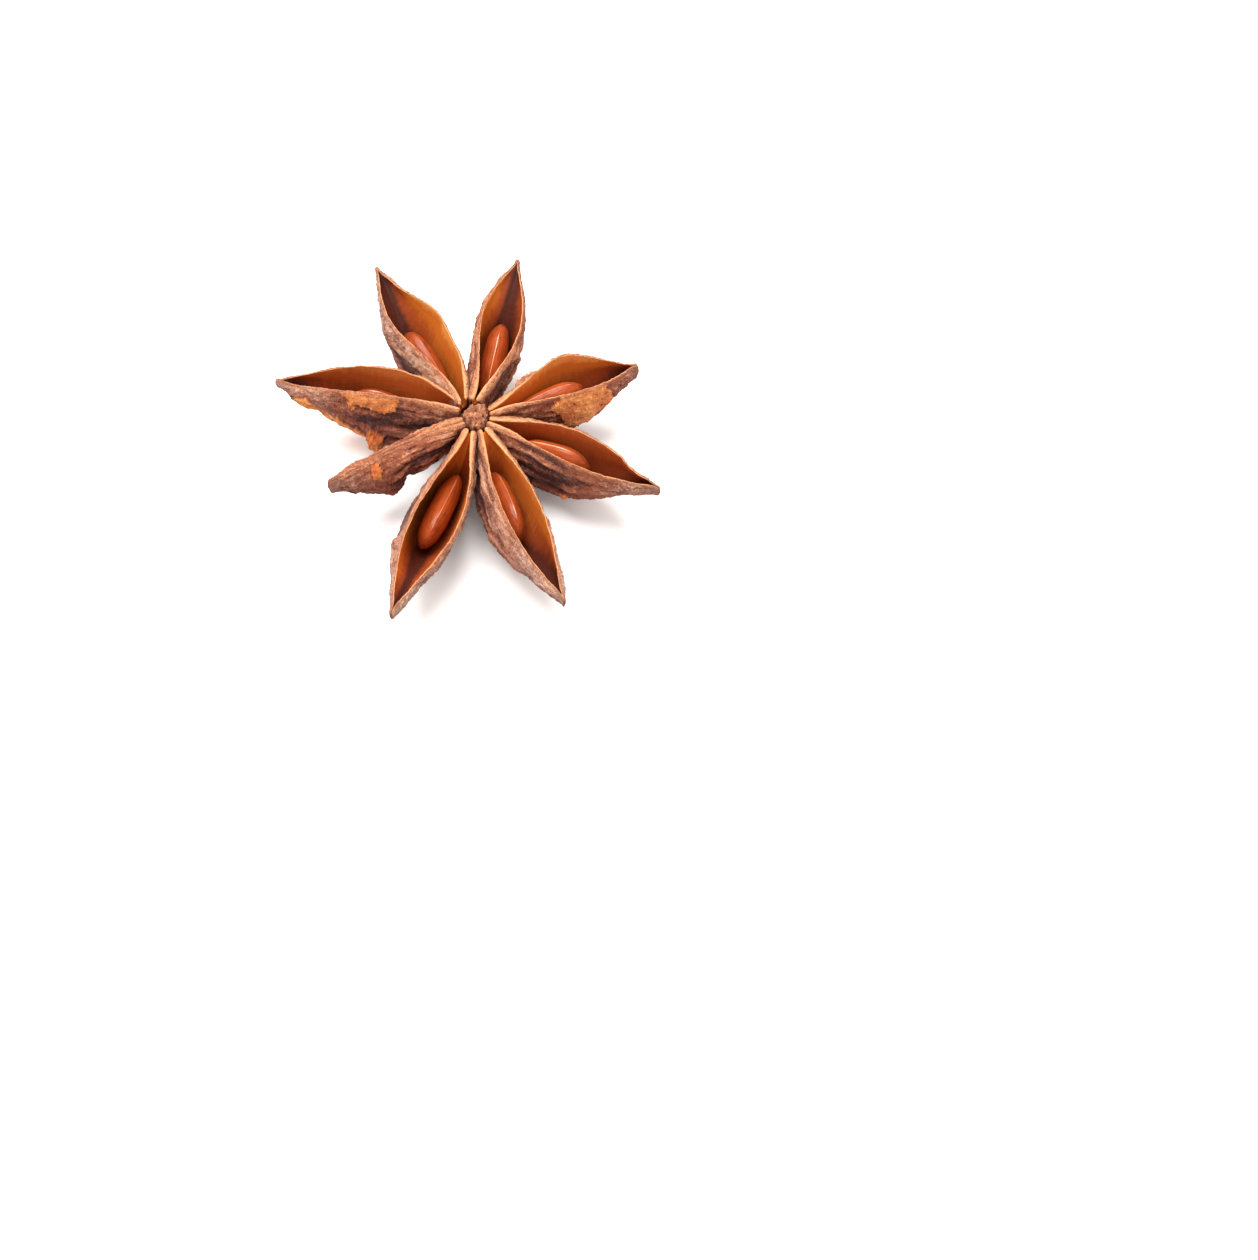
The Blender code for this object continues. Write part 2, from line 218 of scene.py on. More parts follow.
    def mixColour(self, share, a, b, how="MIX"):
        made = self.node("ShaderNodeMix", {"data_type": "RGBA", "blend_type": how, "clamp_factor": True},
                         {0: share, 6: a, 7: b})
        return made.outputs[2]

    def shades(self, tone, colour, *steps):
        # a colour that turns into the next one wherever the tone passes from low to high
        for low, high, following in steps:
            colour = self.mixColour(self.ease(tone, low, high), colour, following)
        return colour

    def bump(self, shader, strength, depth, height):
        made = self.node("ShaderNodeBump", None, {
            "Strength": strength, "Distance": depth * mm, "Height": height})
        self.plug(made.outputs[0], shader.inputs["Normal"])


def weighted(fields, weights):
    # the named fields added up, each by its weight
    return sum(getattr(fields, name) * weight for name, weight in weights.items())


def srgb(red, green, blue):
    # a colour read as 0 to 255 on a screen, in the linear values that shaders use
    def linear(level):
        level /= 255.0
        return level / 12.92 if level <= 0.04045 else ((level + 0.055) / 1.055) ** 2.4
    return (linear(red), linear(green), linear(blue), 1.0)


def newTree(name, inputs):
    # a geometry tree with named number inputs and its finish
    tree = bpy.data.node_groups.new(name, "GeometryNodeTree")
    tree.interface.new_socket("Geometry", in_out="OUTPUT", socket_type="NodeSocketGeometry")
    for given in inputs:
        tree.interface.new_socket(given, in_out="INPUT", socket_type="NodeSocketFloat")
    tree.interface.new_socket("finish", in_out="INPUT", socket_type="NodeSocketMaterial")
    g = Graph(tree)
    start = g.node("NodeGroupInput")
    return tree, g, {given: Value(g, start.outputs[given]) for given in inputs}


def newMaterial(name):
    material = bpy.data.materials.new(name)
    material.use_nodes = True
    return material, Graph(material.node_tree), material.node_tree.nodes["Principled BSDF"]


def asPiece(name, mesh):
    # a plain mesh object at the origin, facing outwards
    builder = bmesh.new()
    builder.from_mesh(mesh)
    if builder.calc_volume(signed=True) < 0.0:
        bmesh.ops.reverse_faces(builder, faces=builder.faces)
    builder.to_mesh(mesh)
    builder.free()
    mesh.name = name
    mesh.shade_smooth()
    piece = bpy.data.objects.new(name, mesh)
    bpy.context.scene.collection.objects.link(piece)
    return piece


def grow(name, tree, values, material):
    # run one geometry tree on an empty mesh, with its named inputs set, and keep the result
    host = bpy.data.objects.new(name + "Host", bpy.data.meshes.new(name + "Host"))
    bpy.context.scene.collection.objects.link(host)
    modifier = host.modifiers.new("grow", "NODES")
    modifier.node_group = tree
    values = {**values, "finish": material}
    for item in tree.interface.items_tree:
        if item.item_type == "SOCKET" and item.in_out == "INPUT" and item.name in values:
            modifier[item.identifier] = values[item.name]
    mesh = bpy.data.meshes.new_from_object(host.evaluated_get(bpy.context.evaluated_depsgraph_get()))
    bpy.data.objects.remove(host)
    return asPiece(name, mesh)


# The star's own sizes, which its carpels, column and seeds share

star = {
    "columnX": 0.781, "columnY": 2.411, "columnTop": 7.5,       # mm
    "root": 1.5,                                # mm from the column's middle to where a carpel starts
    "lipStart": 7.6,                            # mm, height of the lips at the column
    "lipFullness": 1.25,                        # the higher, the more pointed the slit's ends
    "slitAtRoot": 0.07, "slitAtTip": 0.02,      # mm, its least half width
    "wallAtRoot": 0.64, "wallAtTip": 0.38, "keelThickness": 0.8,        # mm
    "bellyAt": 0.26,                            # share of the length where a carpel is deepest
    "crowding": 0.37,                           # greatest half width, over the distance from the middle
    "nose": 0.5,                                # mm, length of the blunt beak
}


# Camera: the photograph's place for the star, in its own pixels

view = {
    "pictureWidth": 1258, "pictureHeight": 1260,
    "columnPixel": (476, 416),      # where the column's top shows
    "pixelsPerMm": 11.11,           # there
    "elevation": 63.2,              # degrees that the camera looks down
    "lens": 110.0, "sensor": 36.0,
    "nearest": 0.01, "furthest": 10.0,      # metres
}


def makeCamera():
    data = bpy.data.cameras.new("camera")
    data.lens = view["lens"]
    data.sensor_width = view["sensor"]
    data.clip_start = view["nearest"]
    data.clip_end = view["furthest"]
    camera = bpy.data.objects.new("camera", data)
    bpy.context.scene.collection.objects.link(camera)
    longSide = max(view["pictureWidth"], view["pictureHeight"])
    focalPixels = longSide * view["lens"] / view["sensor"]
    distance = focalPixels / view["pixelsPerMm"]
    tilt = math.radians(view["elevation"])
    right = Vector((1.0, 0.0, 0.0))
    up = Vector((0.0, math.sin(tilt), math.cos(tilt)))
    back = Vector((0.0, -math.cos(tilt), math.sin(tilt)))
    across = (view["columnPixel"][0] - view["pictureWidth"] / 2) / view["pixelsPerMm"]
    above = (view["pictureHeight"] / 2 - view["columnPixel"][1]) / view["pixelsPerMm"]
    target = Vector((star["columnX"], star["columnY"], star["columnTop"]))
    camera.location = (target - right * across - up * above + back * distance) * mm
    camera.rotation_euler = back.to_track_quat("Z", "Y").to_euler()
    bpy.context.scene.camera = camera


makeCamera()
print("camera placed")


# Carpels: one tree makes each boat from its own sizes

# Lengths are in mm and angles in degrees. Widest, and names that end in At or Long, are shares of the
# carpel's length; those in Down and Tall are shares of its depth. A Side is 1 for the left wall, seen
# from the column, and -1 for the right one. The sign of a lobe, a pinch, and the painted shade and the
# painted light on one wall inside picks its wall in the same way, and skew moves the slit's widest place
# outwards on the left and inwards on the right.
carpels = {
    "1": dict(azimuth=122.9, root=2.1, length=16.8, tipHeight=9.6, gape=1.67, widest=0.535, belly=1.88,
              depth=8.5, fall=1.10, bow=0.15, roll=12.0, tipDepth=1.2, skew=0.08, lobe=-0.75, lobeAt=0.63,
              rootShift=0.35, ragged=0.5, bodyAt=0.50, pinch=0.35, golden=1.0, grey=0.8, gloom=0.25),
    "2": dict(azimuth=76.6, root=1.7, length=15.3, tipHeight=9.6, gape=1.58, widest=0.58, belly=1.85,
              depth=7.6, fall=1.10, bow=0.15, roll=8.0, rootShift=0.52, ragged=0.8,
              golden=1.0, grey=0.3, shaded=-0.6, gloom=-0.22, wallLight=0.15,
              clumpSide=-1.0, clumpAt=0.42, clumpDown=0.30, clumpLong=0.03, clumpTall=0.08,
              clumpHigh=0.30, clumpBare=0.0),
    "3": dict(azimuth=18.3, root=1.45, length=14.95, tipHeight=8.4, gape=1.72, widest=0.57, belly=1.95,
              depth=6.95, fall=1.95, bow=0.50, roll=-8.0, tipDepth=2.5, arch=0.5, lobe=0.50, lobeAt=0.56,
              bodyAt=0.58, golden=0.7, grey=0.0, shaded=-0.4, dusk=0.2,
              tearSide=-1.0, tearAt=0.62, tearLong=0.20, tearDown=0.26, tearTall=0.42,
              clumpSide=1.0, clumpAt=0.30, clumpDown=0.18, clumpLong=0.09, clumpTall=0.16,
              clumpHigh=0.75, clumpBare=0.0),
    "4": dict(azimuth=-25.0, root=1.45, length=17.8, tipHeight=8.1, gape=1.48, widest=0.52, belly=2.05,
              depth=7.5, fall=1.60, bow=0.20, roll=-6.0, tipDepth=1.7, skew=-0.03, ragged=0.3, bite=0.30,
              golden=0.0, grey=0.3, shaded=0.7, dusk=0.2,
              clumpSide=-1.0, clumpAt=0.50, clumpDown=0.66, clumpLong=0.03, clumpTall=0.10,
              clumpHigh=0.25),
    "5": dict(azimuth=-66.35, root=1.75, length=19.7, tipHeight=7.3, gape=1.54, widest=0.495, belly=2.05,
              depth=7.4, fall=1.30, bow=-0.54, roll=-14.0, tipDepth=2.0, skew=0.06, ragged=0.4,
              golden=0.75, grey=0.6, rootShade=0.0, dusk=0.5),
    "6": dict(azimuth=-109.7, root=1.8, length=20.65, tipHeight=7.4, gape=1.74, widest=0.525, belly=2.13,
              depth=8.2, fall=1.05, bow=-0.16, roll=-17.0, tipDepth=1.6, skew=0.02, ragged=0.5,
              golden=1.0, grey=0.6, rootShade=0.15, wallLight=-0.30,
              clumpSide=-1.0, clumpAt=0.67, clumpDown=0.22, clumpLong=0.028, clumpTall=0.14,
              clumpHigh=0.32, clumpBare=0.3),
    "7": dict(azimuth=-151.5, root=1.45, length=14.4, tipHeight=8.0, gape=0.0, widest=0.45, belly=1.35,
              depth=6.95, fall=1.60, bow=0.25, roll=8.0, tipDepth=2.3, arch=0.8, lobe=-0.55, lobeAt=0.82,
              notch=0.45, shaded=0.3, grey=0.2,
              clumpSide=1.0, clumpAt=0.705, clumpDown=0.12, clumpLong=0.045, clumpTall=0.12,
              clumpHigh=0.60, clumpBare=0.9),
    "8": dict(azimuth=170.5, root=1.75, length=17.9, tipHeight=8.8, gape=1.52, widest=0.465, belly=2.05,
              depth=7.9, fall=1.56, bow=-1.0, roll=13.0, tipDepth=1.5, skew=0.085, rootShift=-0.55,
              ragged=0.9, flange=0.85, golden=0.2, grey=0.35, shaded=0.5,
              tearSide=1.0, tearAt=0.50, tearLong=0.17, tearDown=0.02, tearTall=0.22,
              clumpSide=1.0, clumpAt=0.46, clumpDown=0.64, clumpLong=0.055, clumpTall=0.16,
              clumpHigh=1.15),
}
carpelDefaults = {
    "tipDepth": 0.9, "skew": 0.0, "lobe": 0.0, "lobeAt": 0.6,
    "bite": 0.0,            # out of the left lip, near the tip
    "rootShift": 0.0,       # to one side, where it meets the column
    "arch": 0.45,           # of the lips, over a straight line to the tip
    "pinch": 0.0,           # draws in the wall next to a crowding neighbour
    "bodyAt": 0.46,         # where the belly is widest
    "ragged": 1.0,          # share of the keel's usual rags
    "flange": 0.0,          # how far a torn keel leans to one side
    "notch": 0.0,           # share of the depth that is missing towards the column
    "golden": 0.5,          # 0 for a reddish lining, 1 for a golden one
    # painted shade: shaded darkens the skin towards the column, and below 0 lightens it and eases the shade
    # painted low down
    "grey": 0.3, "shaded": 0.0,     # of the skin
    # painted shade and painted light on one wall inside, then painted shade in the hollow at the column and
    # towards the tip
    "gloom": 0.0, "wallLight": 0.0,      # darker and lighter, one wall inside
    "rootShade": 0.1, "dusk": 0.05,      # darker, the hollow at the column and towards the tip
    # a tear, where the dry skin has come away from the orange flesh
    "tearSide": 0.0, "tearAt": 0.5, "tearLong": 0.1, "tearDown": 0.5, "tearTall": 0.1,
    # a clump, a small dry lump that is bare flesh where clumpBare is 1
    "clumpSide": 0.0, "clumpAt": 0.5, "clumpDown": 0.5, "clumpLong": 0.1, "clumpTall": 0.1,
    "clumpHigh": 0.0, "clumpBare": 1.0}
carpelInputs = ("azimuth", "root", "length", "tipHeight", "gape", "widest", "belly", "depth", "fall", "bow",
                "roll", *carpelDefaults, "seed")

# A span is where along the carpel a thing starts, is full, fades and ends, as shares of the length.
# From and To have only the first or the last two, and Round has two shares of the way from keel to lip.
carpelLook = {
    "alongSteps": 250, "roundSteps": 190,
    "buttShare": 0.05, "beakShare": 0.04,           # of the steps along
    "outShare": 0.54, "rimShare": 0.045,            # of the steps round
    "grainApart": 13.7,                             # from one carpel's grain to the next one's
    "innerGrain": 40.0,                             # from the grain outside to the grain inside
    "mergeWithin": 0.004,                           # mm
    # slit and section
    "leastGape": 0.01,                              # mm; a carpel with less is closed
    "leastLip": 0.02, "lobeWide": 0.14,
    "biteAt": 0.85, "biteWide": 0.07, "biteSquare": 4.0, "biteRag": 0.5,
    "tipThinFrom": 0.88, "tipThinBy": 0.5,          # of the wall
    "bellyFullness": 0.75, "leastBody": 0.2, "shoulderPower": 6.0, "slack": 0.02,
    "rootRise": 0.16,                               # share of the depth lost at the column
    "notchSpan": (0.0, 0.11, 0.47, 0.60),
    "tipSweep": 1.6, "archSpeed": 1.1, "lipWave": 0.14, "lipWaveFrom": (0.0, 0.25),
    "narrowing": (0.55, 0.92),                      # where the section turns from a U to a V
    "keelThinBy": 0.55,
    "hollowAtRoot": 0.08, "hollowFrom": (0.0, 0.2), "hollowLoss": 0.75, "hollowTo": (0.93, 1.0),
    "keelSharp": (0.2, 0.3), "valleySharp": (0.15, 1.1),        # everywhere, and more where narrow
    "hollowShoulder": 1.2, "closedSeam": 0.02,
    "pinchSpan": (0.02, 0.10, 0.30, 0.45), "pinchRound": (0.05, 0.25),
    # lips
    "rimThickness": 0.20,                           # mm, of a lip away from the column
    "thinFrom": (0.08, 0.32), "thinRound": (0.70, 1.0),
    "rimCrown": 0.06, "fingerCrown": 0.18, "fingerTo": (0.05, 0.35),
    "looseFrom": (0.03, 0.22), "wobbleRound": (0.55, 1.0), "teethRound": (0.84, 1.0),
    "lipWobble": 0.10, "lipTeeth": 0.07, "longTeeth": 0.8, "sideTeeth": 0.7,
    # keel
    "keelRidge": 0.35, "keelRag": 0.7, "leastRag": -0.4, "longRag": 0.7, "shortRag": 0.25,
    "keelWide": 0.20, "keelSpan": (0.0, 0.2, 0.84, 1.0),
    "leanWide": 0.30, "leanSpan": (0.45, 0.75, 0.92, 1.0), "leanRag": 0.25,
    # ends
    "fingerShare": 0.6,                             # of the butt; the rest closes it
    "fingerMiddle": 0.52, "fingerLeast": 0.25, "fingerDrop": 0.09, "heartDown": 0.42,
    "lipEnd": 0.24,                                 # mm, how far each finger reaches in to the column
    "heartOut": 0.5, "beakDown": 0.4, "beakLift": 0.25,
    # stance
    "rollDown": 0.35, "rollSweep": 0.8, "bowSweep": 1.3,
    # torn skin and clumps
    "tearSquare": 2.6, "tearPatchy": 0.40, "tearFrayed": 0.45, "whole": 3.0,
    "keelWhole": 1.3, "keelTorn": 2.2, "keelFrayed": 0.15, "keelEdgeFrayed": 0.25, "keelTornWide": 0.10,
    "flangeTorn": 0.60, "flangeTornWide": 0.20, "flangeLeftWide": 0.40, "flangeFrom": (0.38, 0.60),
    "clumpFray": 1.1, "clumpSquare": 1.5, "clumpWhole": 1.45,
    # what the paint reads
    "leastDepth": 0.5, "edgeAtKeel": 6.0, "murkTo": (0.15, 0.45), "leastFlange": 0.1,
    # ribs and the long fold below each lip
    "ridges": (1.4, 5.0, 0.0, 0.30), "furrows": (1.2, 6.0, 9.0, 0.24),     # waves along, round, shift, width
    "ribSpan": (0.02, 0.10, 0.35, 0.80), "foldSpan": (0.04, 0.14, 0.35, 0.7),
    "foldAt": 0.71, "foldWander": 0.03, "foldWide": 0.035, "valleyWide": 0.24, "valleyFrom": (0.38, 0.62),
}

# Waves per mm and detail, then two numbers that keep the unevennesses, and the two sides, from matching
carpelWaves = {
    "bite": (1.6, 3.0, 30.0, 0.0), "lipHeight": (0.30, 3.0, 7.0, 3.0), "lipWobble": (0.55, 3.0, 1.0, 2.0),
    "teeth": (2.2, 2.0, 0.0, 5.0), "longTeeth": (1.0, 3.0, 0.0, 4.0), "sideTeeth": (3.0, 2.0, 2.0, 6.0),
    "longRags": (0.45, 2.0, 11.0, 0.0), "shortRags": (1.6, 3.0, 12.0, 0.0), "lean": (0.9, 3.0, 33.0, 0.0),
    "fold": (0.25, 3.0, 21.0, 1.0),
}


class CarpelPlace:
    # where each point of the grid lies, along the carpel and round its cross-section
    def __init__(self, g, give, way, turn):
        look = carpelLook
        self.g = g

        # along: a rounded butt at the column, the boat, then a blunt beak
        s = (way - look["buttShare"]) / (1.0 - look["buttShare"] - look["beakShare"])
        first = (give["root"] - star["root"]) / (give["length"] - star["root"])
        self.s = first + (1.0 - first) * g.held(s)
        self.butt = g.most(look["buttShare"] - way, 0.0) / look["buttShare"]
        self.beak = g.most(way - (1.0 - look["beakShare"]), 0.0) / look["beakShare"]

        # round: outside from lip to lip, a rim, the hollow back, a rim
        outShare, rimShare = look["outShare"], look["rimShare"]
        inShare = 1.0 - outShare - 2 * rimShare
        isRimA = (turn > outShare) * (1.0 - (turn > outShare + rimShare))
        isRimB = turn > 1.0 - rimShare
        self.isIn = (turn > outShare + rimShare) * (1.0 - isRimB)
        self.isRim = isRimA + isRimB
        self.isOut = (1.0 - self.isIn) * (1.0 - self.isRim)
        tOut = g.least(turn / outShare, 1.0) * 2.0 - 1.0
        tIn = 1.0 - g.held((turn - outShare - rimShare) / inShare) * 2.0
        self.t = g.blend(self.isIn, g.blend(isRimB, tOut, -1.0), tIn)   # -1 and 1 at the lips, 0 at the keel
        self.rimTurn = g.blend(isRimB, (turn - outShare) / rimShare, (1.0 - turn) / rimShare)
        self.side = (self.t > 0.0) * 2.0 - 1.0
        self.spread = abs(self.t)
        self.grainShift = give["seed"] * look["grainApart"]
        self.longWay = self.s * give["length"]      # mm along the carpel

    def wave(self, name):
        # one of the unevennesses that change along the carpel only
        perMm, detail, shift, sideShift = carpelWaves[name]
        place = self.g.xyz(self.longWay * perMm, self.grainShift, self.side * sideShift + shift)
        return self.g.grainNoise(place, 1.0, detail)


class CarpelSection:
    # the cross-section's sizes at a place along the carpel, in mm
    def __init__(self, g, give, at):
        look, s, side = carpelLook, at.s, at.side
        self.opened = give["gape"] > look["leastGape"]
        self.radius = star["root"] + (give["length"] - star["root"]) * s
        self.narrow = g.ease(s, *look["narrowing"])
        limit = self.radius * star["crowding"]

        # slit
        lip = give["gape"] * g.arc(s, give["widest"] + side * give["skew"]) ** star["lipFullness"]
        lip = lip + star["slitAtRoot"] + (star["slitAtTip"] - star["slitAtRoot"]) * s
        lip = lip + g.most(side * give["lobe"], 0.0) * g.hump(s, give["lobeAt"], look["lobeWide"])
        bitten = g.hump(s, look["biteAt"], look["biteWide"], look["biteSquare"]) * (side > 0.0)
        bite = give["bite"] * bitten
        lip = lip - bite * (1.0 + look["biteRag"] * at.wave("bite"))
        self.lip = g.most(lip, look["leastLip"])

        # wall and belly
        wall = star["wallAtRoot"] + (star["wallAtTip"] - star["wallAtRoot"]) * s
        wall = g.least(wall, limit - self.lip)
        self.wall = wall * (1.0 - look["tipThinBy"] * g.ease(s, look["tipThinFrom"], 1.0))
        self.rim = self.lip + self.wall
        body = give["belly"] * g.arc(s, give["bodyAt"]) ** look["bellyFullness"] + look["leastBody"]
        body = g.most(g.least(body, limit) - bite, look["leastBody"])
        power = look["shoulderPower"]
        self.halfWidth = (self.rim ** power + body ** power) ** (1.0 / power) + look["slack"]

        # depth, less towards the tip and a little less at the column
        outward = g.most(s - star["bellyAt"], 0.0) / (1.0 - star["bellyAt"])
        inward = g.most(star["bellyAt"] - s, 0.0) / star["bellyAt"]
        loss = 1.0 - give["tipDepth"] / give["depth"]
        rise = loss * 0.5 * (1.0 - g.cosine(outward ** give["fall"] * pi)) + look["rootRise"] * inward ** 2.0
        notch = give["notch"] * g.span(s, *look["notchSpan"])
        self.depth = give["depth"] * (1.0 - rise) * (1.0 - notch)

        # height of the lips
        top = star["lipStart"] + (give["tipHeight"] - star["lipStart"]) * s ** look["tipSweep"]
        top = top + give["arch"] * g.sine(g.least(s * look["archSpeed"], 1.0) * pi)
        self.top = top + at.wave("lipHeight") * look["lipWave"] * g.ease(s, *look["lipWaveFrom"])

        # depth of the hollow
        keel = star["keelThickness"] * (1.0 - look["keelThinBy"] * self.narrow)
        fade = look["hollowAtRoot"] + (1.0 - look["hollowAtRoot"]) * g.ease(s, *look["hollowFrom"])
        fade = fade * (1.0 - look["hollowLoss"] * g.ease(s, *look["hollowTo"]))
        self.hollow = (self.depth - keel) * fade

        # keel's rags, which the torn skin follows too
        self.keelEnds = g.span(s, *look["keelSpan"])
        rags = g.most(at.wave("longRags"), look["leastRag"]) * look["longRag"]
        rags = rags + at.wave("shortRags") * look["shortRag"]
        self.rags = rags * look["keelRag"] * give["ragged"]


def sectionCurve(g, at, lip, halfWidth, sharpness, narrow):
    # the angle from the keel, -90 degrees, to a lip, and the distance across there
    lipAngle = g.math("ARCCOSINE", lip / halfWidth)
    angle = at.spread * (lipAngle + pi / 2) - pi / 2
    power = 1.0 + (sharpness[0] + sharpness[1] * narrow) * (-angle > 0.0)
    return lipAngle, angle, halfWidth * g.most(g.cosine(angle), 0.0) ** power


def boatWalls(g, give, at, cut):
    # outer wall, hollow and rim: the distance across and the height of each point
    look, s, top = carpelLook, at.s, cut.top
    rimOut = g.least(cut.rim, cut.halfWidth)
    lipAngle, angle, acrossOut = sectionCurve(g, at, rimOut, cut.halfWidth, look["keelSharp"], cut.narrow)
    halfHeight = cut.depth / (1.0 + g.sine(lipAngle))
    shoulder = top - halfHeight * g.sine(lipAngle)
    upOut = shoulder + halfHeight * g.sine(angle)

    # the rim is thinner than the wall below it, about the same middle line
    thin = g.most(cut.wall - look["rimThickness"], 0.0) * 0.5 * g.ease(s, *look["thinFrom"])
    nearLip = g.ease(at.spread, *look["thinRound"])
    thinOut = thin * (2.0 - cut.opened)
    pinched = g.most(at.side * give["pinch"], 0.0) * g.span(s, *look["pinchSpan"])
    pinched = pinched * g.ease(at.spread, *look["pinchRound"]) * (1.0 - nearLip)
    acrossOut = acrossOut - thinOut * nearLip - pinched

    # hollow, rounder at the seed and a sharp valley towards the beak
    halfIn = cut.halfWidth - cut.wall
    lipIn = g.least(cut.lip, halfIn * 0.999)
    lipAngleIn, angleIn, acrossIn = sectionCurve(g, at, lipIn, halfIn, look["valleySharp"], cut.narrow)
    acrossIn = acrossIn + thin * nearLip
    above = (top - shoulder) * g.least(look["hollowShoulder"] * cut.hollow / cut.depth, 1.0)
    lowHalf = top - above + (cut.hollow - above) * g.sine(angleIn)
    highHalf = top - above + above * g.sine(angleIn) / g.most(g.sine(lipAngleIn), 0.001)
    upIn = g.blend(angleIn > 0.0, lowHalf, highHalf)

    # a closed carpel has no hollow: its two lips meet in a low seam
    acrossIn = acrossIn * cut.opened
    upIn = g.blend(cut.opened, top - look["closedSeam"], upIn)

    # rim: half a turn from the outer edge to the inner one
    turn = (1.0 - g.cosine(at.rimTurn * pi)) * 0.5
    acrossRim = g.blend(turn, cut.rim - thinOut, (lipIn + thin) * cut.opened)
    crown = look["rimCrown"] + look["fingerCrown"] * (1.0 - g.ease(s, *look["fingerTo"]))
    upRim = top + crown * g.sine(at.rimTurn * pi)
    across = g.blend(at.isRim, g.blend(at.isIn, acrossOut, acrossIn), acrossRim)
    return across, g.blend(at.isRim, g.blend(at.isIn, upOut, upIn), upRim)


def frayedLips(g, at, across, up):
    # the lips wander, and are toothed where they dried and split
    look = carpelLook
    loose = g.ease(at.s, *look["looseFrom"])
    wobble = at.wave("lipWobble") * look["lipWobble"]
    across = across + wobble * loose * g.ease(at.spread, *look["wobbleRound"])
    teeth = at.wave("teeth") + look["longTeeth"] * g.most(at.wave("longTeeth"), 0.0)
    atLip = loose * g.ease(at.spread, *look["teethRound"])
    up = up + teeth * look["lipTeeth"] * atLip
    teethOut = at.wave("sideTeeth") * look["lipTeeth"] * look["sideTeeth"]
    return across + teethOut * atLip * (1.0 - at.isIn), up


def tornKeel(g, give, at, cut, across, up):
    # a torn ridge below the rounded walls, which leans over where it has a flange
    look = carpelLook
    low = (1.0 - g.ease(at.spread, 0.0, look["keelWide"])) * at.isOut
    up = up - (look["keelRidge"] + cut.rags) * cut.keelEnds * low
    leaning = g.span(at.s, *look["leanSpan"]) * (1.0 - g.ease(at.spread, 0.0, look["leanWide"])) * at.isOut
    return across + give["flange"] * leaning * (1.0 + look["leanRag"] * at.wave("lean")), up


def closedEnds(g, at, cut, across, up):
    # butt: each lip ends as a rounded finger beside the column, with the slit between them
    look, top = carpelLook, cut.top
    fingers = g.least(at.butt / look["fingerShare"], 1.0)
    closing = g.most(at.butt - look["fingerShare"], 0.0) / (1.0 - look["fingerShare"])
    rounded = (1.0 - fingers ** 2.0) ** 0.5
    middle = at.side * cut.halfWidth * look["fingerMiddle"]
    across = middle + (across - middle) * (look["fingerLeast"] + (1.0 - look["fingerLeast"]) * rounded)
    heart = top - look["heartDown"] * cut.depth
    up = heart + (up - heart) * (1.0 - look["fingerDrop"] * (1.0 - rounded))
    across = across * (1.0 - closing)
    up = heart + (up - heart) * (1.0 - closing)

    # beak: blunt, and a little hooked upwards
    blunt = (1.0 - at.beak ** 3.0) ** 0.5
    across = across * blunt
    sunk = look["beakDown"] * cut.depth
    up = top - sunk + (up - top + sunk) * blunt + at.beak * star["nose"] * look["beakLift"]
    reach = cut.radius - fingers * look["lipEnd"] + closing * look["heartOut"] + at.beak * star["nose"]
    return across, up, reach


def inStar(g, give, at, cut, across, up, reach):
    # bow, roll and azimuth stand the carpel in the star
    look, s = carpelLook, at.s
    pivot = cut.top - look["rollDown"] * cut.depth
    roll = give["roll"] * (pi / 180.0) * g.sine(s ** look["rollSweep"] * pi)
    turned = across * g.cosine(roll) - (up - pivot) * g.sine(roll)
    height = across * g.sine(roll) + (up - pivot) * g.cosine(roll) + pivot
    lateral = turned + give["bow"] * g.sine(s ** look["bowSweep"] * pi) + give["rootShift"] * (1.0 - s) ** 2.0
    bearing = give["azimuth"] * (pi / 180.0)
    x = star["columnX"] + g.cosine(bearing) * reach - g.sine(bearing) * lateral
    y = star["columnY"] + g.sine(bearing) * reach + g.cosine(bearing) * lateral
    return g.xyz(x, y, height)


def tornSkin(g, give, at, cut, down, frayed, patchy):
    # below 1 where the skin has come away, on the wall and along the keel
    look, s, side = carpelLook, at.s, at.side
    square = look["tearSquare"]
    tear = (abs((s - give["tearAt"]) / give["tearLong"]) ** square
            + abs((down - give["tearDown"]) / give["tearTall"]) ** square) ** (1.0 / square)
    tear = tear + patchy * look["tearPatchy"] + frayed * look["tearFrayed"]
    tear = g.blend((side * give["tearSide"] > 0.5) * (1.0 - at.isIn), look["whole"], tear)
    flange = give["flange"] * g.ease(s, *look["flangeFrom"])
    torn = cut.rags + look["keelFrayed"] * frayed + flange * look["flangeTorn"]
    wide = look["keelTornWide"] + flange * (look["flangeTornWide"] + look["flangeLeftWide"] * (side > 0.0))
    keel = look["keelWhole"] - torn * cut.keelEnds * look["keelTorn"]
    keel = keel + at.spread / wide + look["keelEdgeFrayed"] * frayed
    return g.least(tear, g.blend(at.isOut, look["whole"], keel))


def dryClump(g, give, at, down, frayed):
    # 1 on a clump, with frayed edges
    look = carpelLook
    away = ((at.s - give["clumpAt"]) / give["clumpLong"]) ** 2.0
    away = away + ((down - give["clumpDown"]) / give["clumpTall"]) ** 2.0
    clump = g.hump(g.most(away + frayed * look["clumpFray"], 0.0), 0.0, 1.0, look["clumpSquare"])
    return clump * (at.side * give["clumpSide"] > 0.5) * at.isOut


def longRibs(g, at):
    # ridges and furrows that fan from the column, and the fold below each lip
    look, s = carpelLook, at.s

    def lines(perLength, perGirth, shift, width):
        streak = g.grainNoise(g.xyz(s * perLength, at.t * perGirth, at.grainShift + shift), 1.0, 2.0)
        return 1.0 - g.ease(abs(streak), 0.0, width)

    ribs = lines(*look["ridges"]) - lines(*look["furrows"])
    groove = at.spread - look["foldAt"] - look["foldWander"] * at.wave("fold")
    fold = g.hump(groove, 0.0, look["foldWide"]) * g.span(s, *look["foldSpan"]) * at.isOut
    heights = carpelRelief
    return ribs * (g.span(s, *look["ribSpan"]) * at.isOut) - fold * (heights["fold"] / heights["ribs"])


